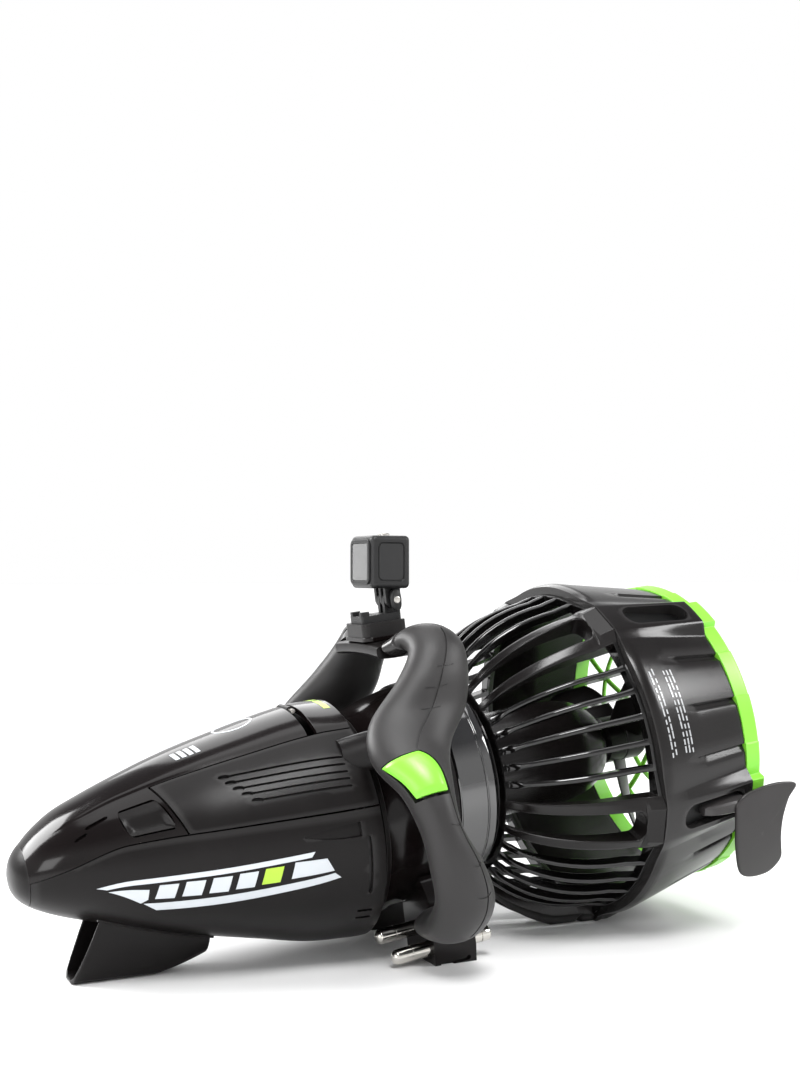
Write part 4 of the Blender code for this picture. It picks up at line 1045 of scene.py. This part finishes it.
def build_fins():
    count = len(FIN_OUTLINE)
    middle_u = sum(u for u, _ in FIN_OUTLINE) / count
    outline = [path_point([FIN_OUTLINE[(k + d) % count] for d in (-1, 0, 1, 2)], (1 + m / 5) / 3)
               for k in range(count) for m in range(5)]
    for name, side, index in (("port", 1, 1), ("starboard", -1, 4)):
        angle = radians(ARM_FIRST + STEP * index)
        outward = Vector((0, cos(angle), sin(angle)))
        down = Vector((0, side * sin(angle), -abs(cos(angle))))
        root = outward * (duct_radius(-78) + ARM_RISE + 2.9)

        def place(u, drop, lift):
            bow = 0.0016 * (drop - 20) ** 2
            return Vector((u, 0, 0)) + root + down * drop + outward * (lift - bow + 2.0)

        # Edge of the plate, rounded over its thickness.
        rings = []
        for lift, shrink in ((0.0, 1.4), (0.35, 0.5), (1.1, 0.0), (2.1, 0.0), (2.85, 0.5),
                             (FIN_THICK, 1.4)):
            ring = []
            for u, drop in outline:
                inward = Vector((middle_u - u, FIN_MIDDLE - drop)).normalized() * shrink
                ring.append(place(u + inward.x, drop + inward.y, lift))
            rings.append(ring)
        bm = bmesh.new()
        loops = vert_grid(bm, rings)
        for near, far in zip(loops, loops[1:]):
            quads(bm, near, far)
        # Bowed faces of the plate, in rings that shrink to its middle.
        for last, lift in ((loops[0], 0.0), (loops[-1], FIN_THICK)):
            for shrink in (0.9, 0.78, 0.65, 0.52, 0.4, 0.28, 0.16, 0.06, 0.02):
                ring = [bm.verts.new(place(lerp(middle_u, u, shrink),
                                           lerp(FIN_MIDDLE, drop, shrink), lift))
                        for u, drop in outline]
                quads(bm, last, ring)
                last = ring
            middle = bm.verts.new(place(middle_u, FIN_MIDDLE, lift))
            for j, k in pairs(len(last)):
                bm.faces.new((last[j], last[k], middle))
        fin = solid("fin_blade_" + name, bm)
        # Wedge that roots the blade in the floor of its pocket.
        sole = -ARM_RISE - POCKET_DEPTH - 0.4
        foot = []
        for u, top, half in ((-84.0, 5.8, 5.5), (-72.0, 4.2, 5.5), (-60.0, 1.6, 5.1),
                             (-50.0, -1.6, 4.4), (-43.0, -4.6, 3.4)):
            base = outward * (duct_radius(u) + ARM_RISE)
            foot.append([Vector((u, 0, 0)) + base + outward * reach + down * across
                         for across, reach in ((-half, sole), (half, sole), (half, top - 1.6),
                                               (half * 0.7, top), (-half * 0.7, top),
                                               (-half, top - 1.6))])
        carve(fin, loft(foot), "UNION")
        dress(fin, "hull", FIN, ["tail_fin_" + name], rounding=0.2, smooth=40)


# ---- handles ----
GRIP_PATH = [                         # u, v, w, half depth along u, half thickness
    (165, 44, 121, 21, 9.0), (155, 57, 126, 21, 12), (152, 71, 117, 24, 14.5),
    (162, 80, 97, 32, 16), (182, 88, 70, 42, 16), (199, 105, 46, 34, 17), (200, 127, 22, 21, 18),
    (198, 139, -8, 15.5, 18), (190, 142, -38, 21, 18), (184, 137, -64, 24, 18),
    (184, 121, -84, 25, 16), (185, 102, -90, 23, 14), (186, 88, -92, 20, 12)]
PER_MM = 0.0024                       # share of the path that is about a millimetre
TRIGGER_SPAN = (0.446, 0.522)
TRIGGER_ARC = (12.0, 112.0)
SEAMS = ([(0.125, 110), (0.18, 99), (0.23, 94), (0.28, 93), (0.33, 97), (0.38, 96), (0.44, 86)],
         [(0.52, 118), (0.57, 124), (0.63, 128), (0.70, 124), (0.76, 112), (0.83, 96)])
CREASES = ((0.235, 82, 112), (0.278, 74, 106), (0.333, 84, 110), (0.578, 92, 132),
           (0.655, 104, 136), (0.72, 96, 134))
BRIDGE_HALF = 42
ROD_PLACES = ((76, -115.5), (48, -106.0))


def grip_point(t, degrees, side, offset=0.0):
    u, v, w, deep, thick = path_point(GRIP_PATH, t)
    before = path_point(GRIP_PATH, t - 0.01)
    after = path_point(GRIP_PATH, t + 0.01)
    along = Vector((0, after[1] - before[1], after[2] - before[2])).normalized()
    out = Vector((0, -along.z, along.y))
    angle = radians(degrees)
    point = (Vector((u, v, w)) + Vector((1, 0, 0)) * (deep + offset) * cos(angle)
             + out * (thick + offset) * sin(angle))
    return Vector((point.x, point.y * side, point.z))


def cap_edge(degrees):
    """Where the cap on top of a grip ends, along the grip's path."""
    return 0.095 + 0.038 * sin(radians(degrees - 97))


def grip_rings(side, start, end, rows, columns=56, offset=0.0, fade=0.0):
    """Rings round a grip; start and end are path shares, or functions of the angle."""
    rings = []
    for i in range(rows + 1):
        share = i / rows
        ring = []
        for k in range(columns):
            degrees = 360.0 * k / columns
            low = start(degrees) if callable(start) else start
            high = end(degrees) if callable(end) else end
            shrink = fade * max(0.0, 1 - (rows - i) / 2.0)
            ring.append(grip_point(lerp(low, high, share), degrees, side, offset - shrink))
        rings.append(ring)
    return rings


def trigger_patch(side, grow, low, high, foot_grow=0.0, crown=0.0):
    """Solid that follows the grip over the trigger's outline, from low to high off its skin.
    grow widens the outline, and crown rounds off its upper edges."""
    grids = ([], [])
    low_t, high_t = TRIGGER_SPAN
    for share in spread(0, 1, 25):
        t = lerp(low_t - grow * PER_MM, high_t + (grow + foot_grow) * PER_MM, share)
        room = grow * (2.0 + 6.0 * share)
        start = TRIGGER_ARC[0] + 20 * share - room
        end = TRIGGER_ARC[1] - 26 * (1 - share) ** 3 + room
        for grid, offset in zip(grids, (high, low)):
            line = []
            for across in spread(0, 1, 19):
                lift = offset
                if crown and offset == high:
                    edge = min(across, 1 - across, share, 1 - share)
                    lift += crown * (smooth_step(edge / 0.14) - 1)
                line.append(grip_point(t, lerp(start, end, across), side, lift))
            grid.append(line)
    return grid_solid(*grids)


def build_grips():
    for name, side in SIDES:
        grip = solid("grip_skin_" + name,
                     loft(grip_rings(side, lambda d: cap_edge(d) + 0.003, 1.0, 110)))
        carve(grip, trigger_patch(side, 1.3, -10.0, 6.0, 1.2))
        for seam in SEAMS:
            carve(grip, strip(lambda a, b, h: grip_point(a, b, side, h),
                              lambda t: tuple(path_point(seam, t)),
                              lambda t: capsule(t, 1.9, 0.04), 0.9, 1.5, rounded_ends(50), 3))
        for t_mid, low, high in CREASES:
            carve(grip, strip(lambda a, b, h: grip_point(b, a, side, h),
                              lambda t: (lerp(low, high, t), t_mid + 0.004 * sin(3 * t)),
                              lambda t: capsule(t, 0.0019, 0.3), 0.6, 1.5, rounded_ends(16), 3))
        dress(grip, "hull", GRIP, ["grip_" + name], rounding=0.3, smooth=50)
        cap = solid("grip_cap_" + name,
                    loft(grip_rings(side, 0.0, lambda d: cap_edge(d) - 0.004, 24, fade=0.7)))
        dress(cap, "hull", CAP, smooth=50)
        core = solid("grip_joint_" + name,
                     loft(grip_rings(side, lambda d: cap_edge(d) - 0.008,
                                     lambda d: cap_edge(d) + 0.006, 2, offset=-1.6)))
        dress(core, "hull", DARK)
        trigger = solid("trigger_blade_" + name,
                        trigger_patch(side, 0.0, -3.4, 2.2, crown=1.6))
        dress(trigger, "trigger_" + name, LIME, ["trigger_" + name], rounding=0.2,
              smooth=50)


def build_bridge():
    rings = []
    for v in spread(-BRIDGE_HALF, BRIDGE_HALF, 41):
        w = 120 - 2.0 * (v / BRIDGE_HALF) ** 2
        rings.append([(167 + 23 * copysign(abs(cos(a)) ** 0.6, cos(a)), v,
                       w + 6.0 * copysign(abs(sin(a)) ** 0.45, sin(a))) for a in circle(64)])
    bridge = solid("bridge_beam", loft(rings))
    # Two grooves across the top at each end.
    cutters = bmesh.new()
    for _, side in SIDES:
        for v in (27.0, 33.5):
            rings = []
            for u in spread(150, 184, 12):
                half = capsule((u - 150) / 34, 1.1, 0.08)
                rings.append([(u, side * (v + across), w) for across, w in
                              ((-half, 124.0), (half, 124.0), (half, 130), (-half, 130))])
            loft(rings, cutters)
    carve(bridge, cutters)
    dress(bridge, "hull", SATIN, ["handle_bridge"], rounding=0.3, smooth=50)


def hull_block(grow):
    """The hull as a plain solid, to cut its neighbours to."""
    rings = []
    for u in spread(195, 310, 24):
        centre, high, wide = curve(HULL_SECTIONS, u)
        rings.append([(u, (wide + grow) * cos(a), centre + (high + grow) * sin(a))
                      for a in circle(72)])
    return loft(rings)


def build_shoulders():
    for name, side in SIDES:
        rings = []
        for t in spread(0, 1, 13):
            u, v, w = path_point([(200, 94, 52), (222, 82, 50), (243, 64, 44)], t)
            rings.append([(u, (v + 11 * cos(a)) * side, w + 15 * sin(a)) for a in circle(40)])
        bracket = solid("shoulder_arm_" + name, loft(rings))
        carve(bracket, hull_block(0.4))
        carve(bracket, loft(grip_rings(side, 0.05, 1.0, 90, 40, 0.4)))
        dress(bracket, "hull", SATIN, ["shoulder_bracket_" + name], rounding=0.8,
              smooth=45)


def build_ballast():
    outline = [(36, None), (78, None), (83, -136), (86, -119), (86, -84), (84, -76), (76, -64),
               (70, -60), (36, -70)]              # None stands for the floor
    nose = [(218 + 5 * sin(a), 6 * cos(a)) for a in quarter(8)]
    profile = [(136, 0), (136, 2.6), (137.4, 3.0), (137.4, 4.2), (136, 4.5), (136.0, 4.9),
               (136.6, 5.6), (137.5, 6.0), (144, 6), (144.3, 5.5), (145.7, 5.5), (146, 6),
               (206, 6), (206.3, 5.6), (207.2, 5.6), (207.5, 6), *nose, (223, 0)]
    for name, side in SIDES:
        holder = solid("ballast_frame_" + name, loft(
            [[(u, v * side, floor_w(u) if w is None else w) for v, w in outline]
             for u in (153.0, 190.0)]))
        carve(holder, loft([neck_ring(u, -0.5) for u in spread(NECK_REAR_U, NECK_FRONT_U, 16)]))
        cutters = bmesh.new()
        for v, w in ROD_PLACES:
            turned([(140, 0), (140, 6.3), (200, 6.3), (200, 0)], 40, (v * side, w), cutters)
        # Long grooves along the flank.
        for w in (-92.0, -128.0):
            rings = []
            for t in rounded_ends(14):
                half = capsule(t, 2.0, 0.1)
                rings.append([(lerp(158, 185, t), side * v, w + across) for v, across in
                              ((81.5, -half), (90, -half), (90, half), (81.5, half))])
            loft(rings, cutters)
        carve(holder, cutters)
        dress(holder, "hull", GLOSS, ["ballast_block_" + name], rounding=1.2,
              segments=3)
        for index, (v, w) in enumerate(ROD_PLACES):
            label = "%s_%d" % (name, index + 1)
            rod = solid("weight_rod_" + label, turned(profile, 48, (v * side, w)))
            dress(rod, "ballast_rod_" + label, ROD, ["ballast_rod_" + label],
                  smooth=30)


# ---- camera accessory ----
PIVOT = Vector((155.0, 0.0, 156.5))
CAMERA_LOW = PIVOT + Vector((-15, -22, 10))
CAMERA_HIGH = PIVOT + Vector((21, 22, 54))
PIN_HOLE = [(0, 0), (0, 2.8), (1, 2.8), (1, 0)]


def rounded_rectangle(half_a, half_b, corner, steps=8):
    """Outline about its own middle, as (a, b) points."""
    return [(way_a * (half_a - corner) + corner * cos(pi / 2 * (j + m / steps)),
             way_b * (half_b - corner) + corner * sin(pi / 2 * (j + m / steps)))
            for j, (way_a, way_b) in enumerate(((1, 1), (-1, 1), (-1, -1), (1, -1)))
            for m in range(steps + 1)]


def box(low, high, corner, rows=3, bm=None):
    """Box between opposite corners, with rounded upright edges."""
    reach = Vector(high) - Vector(low)
    middle = (Vector(low) + Vector(high)) / 2
    outline = rounded_rectangle(reach.x / 2, reach.y / 2, corner)
    return loft([[(middle.x + x, middle.y + y, w) for x, y in outline]
                 for w in spread(low[2], high[2], rows)], bm)


def upright_plate(u_low, u_high, half, w_low, w_high, corner):
    """Flat plate with rounded corners, standing across the thrust direction."""
    outline = rounded_rectangle(half, (w_high - w_low) / 2, corner)
    return loft([[(u, y, (w_low + w_high) / 2 + z) for y, z in outline] for u in (u_low, u_high)])


def side_plate(bm, side, inset, near, far):
    """Rounded plate standing on a flank of the camera."""
    reach = CAMERA_HIGH - CAMERA_LOW
    middle = (CAMERA_LOW + CAMERA_HIGH) / 2
    outline = rounded_rectangle(reach.x / 2 - inset, reach.z / 2 - inset, 4.0, 6)
    loft([[(middle.x + x, v * side, middle.z + z) for x, z in outline] for v in (near, far)], bm)
    return bm


def level(bm):
    """Turn a camera part from the thrust frame to level, about the camera's middle."""
    middle = (CAMERA_LOW + CAMERA_HIGH) / 2
    spin = (Matrix.Translation(middle) @ Matrix.Rotation(-PITCH, 4, "Y")
            @ Matrix.Translation(-middle))
    bmesh.ops.transform(bm, verts=bm.verts, matrix=spin)
    return bm


def turned_along(start, end, profile):
    """Turned shape along a line; profile rows are (share of the length, radius)."""
    start, end = Vector(start), Vector(end)
    along = end - start
    bm = turned([(s * along.length, r) for s, r in profile], 48)
    turn = Vector((1, 0, 0)).rotation_difference(along).to_matrix().to_4x4()
    bmesh.ops.transform(bm, verts=bm.verts, matrix=Matrix.Translation(start) @ turn)
    return bm


def across_pivot(near, far, profile):
    return turned_along(PIVOT + Vector((0, near, 0)), PIVOT + Vector((0, far, 0)), profile)


def prong(v, way):
    """One plate of the clamp hinge; it reaches up from the pivot, or down, by way."""
    ring = [(7 * cos(pi * k / 24), -way * 7 * sin(pi * k / 24))
            for k in range(25)] + [(-7, way * 14), (7, way * 14)]
    return loft([[(PIVOT.x + x, across, PIVOT.z + y) for x, y in ring]
                 for across in (v - 2.0, v + 2.0)])


def build_mount():
    base = solid("mount_foot", box((149, -20, 126.4), (189, 20, 140), 6.0))
    carve(base, box((140, -13, 134), (187, 13, 146), 0.5))
    carve(base, box((144, -15, 136), (184, 15, 138.2), 0.5))
    dress(base, "hull", SATIN, ["mount_base"], rounding=1.0, segments=3)
    collar = solid("mount_collar", box((146.5, -23.5, 125.6), (190, 23.5, 129), 8.0))
    carve(collar, box((148.8, -20.2, 120), (189.2, 20.2, 135), 6.2))
    dress(collar, "hull", GLOSS, rounding=0.8, segments=3)

    foot = solid("buckle_body", box((150, -12.6, 134.4), (186.5, 12.6, 146), 2.5))
    for v in (-4.6, 4.6):
        carve(foot, prong(v, -1), "UNION")
    carve(foot, across_pivot(-20, 20, PIN_HOLE))
    ridges = bmesh.new()
    for k in range(4):
        box((171 + 3.4 * k, -9, 145.0), (172.6 + 3.4 * k, 9, 149), 0.3, bm=ridges)
    carve(foot, ridges)
    for v in (-9.0, 9.0):
        carve(foot, box((178.5, v - 2.4, 144.5), (186.3, v + 2.4, 149.5), 1.0), "UNION")
    dress(foot, "buckle", CASE, ["quick_release_buckle"], rounding=0.5)


def build_camera():
    low, high = CAMERA_LOW, CAMERA_HIGH
    case = solid("camera_shell", level(box(low, high, 5.0, 2)))
    apply(case, bevel(case, 4.0, 5, 40))
    for v in (-9.2, 0.0, 9.2):
        carve(case, prong(v, 1), "UNION")
    carve(case, across_pivot(-20, 20, PIN_HOLE))
    # Well for the button, and a recess for the door on each flank.
    cutters = turned_along((PIVOT.x, 0, high.z - 2.2), (PIVOT.x, 0, high.z + 4),
                           [(0, 0), (0, 5.4), (1, 5.4), (1, 0)])
    for _, side in SIDES:
        side_plate(cutters, side, 6.0, 20.8, 23.0)
    carve(case, level(cutters))
    dress(case, "camera", CASE, ["camera_case"], rounding=0.35)
    for name, side in SIDES:
        panel = side_plate(bmesh.new(), side, 6.9, 20.9, 21.6)
        dress(solid("camera_door_" + name, level(panel)), "camera", DOOR,
              rounding=0.3)

    # Dark bezel round a pale plate.
    bezel = upright_plate(high.x + 0.1, high.x + 1.55, 18.6, low.z + 3.4, high.z - 3.4, 5.0)
    bezel = solid("camera_bezel", level(bezel))
    hole = upright_plate(high.x - 1.0, high.x + 3.0, 15.4, low.z + 6.4, high.z - 6.4, 3.0)
    carve(bezel, level(hole))
    dress(bezel, "camera", CASE, rounding=0.3)
    plate = upright_plate(high.x + 0.1, high.x + 1.1, 15.1, low.z + 6.7, high.z - 6.7, 2.8)
    dress(solid("camera_front", level(plate)), "camera", PLATE, ["lens_plate"],
          rounding=0.2)
    button = turned_along((PIVOT.x, 0, high.z + 0.3), (PIVOT.x, 0, high.z + 2.3),
                          [(0, 0), (0, 5), (0.7, 5), (1, 4.2), (0.9, 3.2), (0.8, 0)])
    dress(solid("camera_button", level(button)), "shutter", STEEL, ["shutter_button"])


def build_thumbscrew():
    """Stem, two-lobed knob and a pale cap."""
    screw = solid("screw_stem", across_pivot(-13.2, 13, [(0, 0), (0, 2.1), (0.02, 2.4), (1, 2.4),
                                                         (1, 0)]))
    knob = []
    for v, size in ((12.6, 0.82), (13.2, 0.96), (15.0, 1.0), (17.2, 0.96), (17.9, 0.82)):
        ring = []
        for a in circle(64):
            lobe = (5.4 + 4.2 * abs(sin(a)) ** 3) * size
            ring.append((PIVOT.x + lobe * cos(a) * 0.85, v, PIVOT.z + lobe * sin(a)))
        knob.append(ring)
    carve(screw, loft(knob), "UNION")
    dress(screw, "thumbscrew", CASE, ["thumbscrew"], smooth=45)
    cap = across_pivot(17.4, 18.2, [(0, 0), (0, 2.9), (0.7, 2.9), (1, 2.3), (1, 0)])
    dress(solid("screw_cap", cap), "thumbscrew", STEEL)


# ---- inner parts kept from the frame ----
KEPT = {"bulkhead": SATIN, "battery_pack": SATIN, "battery_connector": LIME,
        "speed_controller": ALLOY, "front_bearing": STEEL, "rear_bearing": STEEL,
        "shaft_seal": SEAL, "motor_stator": COPPER, "motor_rotor": STEEL,
        "propeller_shaft": STEEL, "hatch_hinge_pin": STEEL, "hatch_knuckle": SATIN,
        "hatch_seal": SEAL, "trigger_pin_port": STEEL, "trigger_pin_starboard": STEEL,
        "trigger_switch_port": DARK, "trigger_switch_starboard": DARK, "thumbscrew_nut": STEEL}


def dress_kept():
    for name, material in KEPT.items():
        for place in frame["nodes"][name].material_slots:
            place.material = material


# ---- studio ----
EYE = Vector((0.49734, 1.0478, 0.3068))
GAZE = Vector((-0.4355, -0.9002, tan(radians(1.21))))
LIT_POINT = Vector((0, 0, 0.15))


def build_floor():
    ground = bmesh.new()
    bmesh.ops.create_grid(ground, x_segments=4, y_segments=4, size=40.0)
    floor = add("floor", mesh_from("floor", ground))
    floor.location.z = -0.0002
    pale = look("floor_pale", (0.80, 0.80, 0.80), 0.6, mottle=0.005, grain=0.02)
    floor.data.materials.append(pale)
    # The lamps' light fades out away from the object; a faint glow there keeps the floor even.
    tree = pale.node_tree
    shader = tree.nodes["Principled BSDF"]
    shader.inputs["Emission Color"].default_value = (1, 1, 1, 1)
    place = put(tree, "ShaderNodeTexCoord")
    distance = put(tree, "ShaderNodeVectorMath", (), [(0, place.outputs["Object"])],
                   operation="LENGTH")
    glow = put(tree, "ShaderNodeMapRange",
               [("From Min", 0.7), ("From Max", 2.6), ("To Min", 0.0), ("To Max", 0.42)],
               [("Value", distance.outputs["Value"])])
    tree.links.new(glow.outputs["Result"], shader.inputs["Emission Strength"])


def build_sky():
    """World that is pale round the horizon and dimmer overhead."""
    world = bpy.data.worlds.new("studio")
    world.use_nodes = True
    tree = world.node_tree
    sky = tree.nodes["Background"]
    place = put(tree, "ShaderNodeTexCoord")
    axes = put(tree, "ShaderNodeSeparateXYZ", (), [(0, place.outputs["Generated"])])
    fade = ramp(tree, axes.outputs["Z"], (0.40, (1, 1, 1)), (0.66, (0.30, 0.30, 0.31)))
    tree.links.new(fade, sky.inputs["Color"])
    sky.inputs["Strength"].default_value = 1.0
    bpy.context.scene.world = world


def aim(item, direction):
    item.rotation_euler = direction.to_track_quat("-Z", "Y").to_euler()


def build_studio():
    build_floor()
    build_sky()
    bpy.context.scene.view_settings.view_transform = "Standard"
    for name, spot, size, power in (
            ("key", (0.3, 1.0, 1.7), 0.6, 27), ("fill", (1.5, 0.8, 0.5), 0.5, 5),
            ("nose", (1.1, -0.7, 1.0), 0.8, 36), ("rear", (-1.3, 0.9, 1.1), 0.5, 14),
            ("far", (-0.3, -1.4, 1.3), 1.2, 14)):
        data = bpy.data.lights.new(name, "AREA")
        data.shape = "SQUARE"
        data.size = size
        data.energy = power
        lamp = add(name, data)
        lamp.location = spot
        aim(lamp, LIT_POINT - lamp.location)
    data = bpy.data.lights.new("overhead", "SUN")
    data.energy = 1.35
    data.angle = radians(50)
    add("overhead", data).location = (0, 0, 3)

    data = bpy.data.cameras.new("view")
    data.lens = 45.25
    data.sensor_width = 36
    data.sensor_fit = "AUTO"
    camera = add("view", data)
    camera.location = EYE
    aim(camera, GAZE)
    bpy.context.scene.camera = camera


for build in (build_hull, build_hatch, build_nose_cap, build_latches, build_spine_ring,
              build_stripes, build_skid, build_drive, build_duct, build_cage, build_guard,
              build_fins, build_grips, build_bridge, build_shoulders, build_ballast, build_mount,
              build_camera, build_thumbscrew, dress_kept, build_studio):
    build()
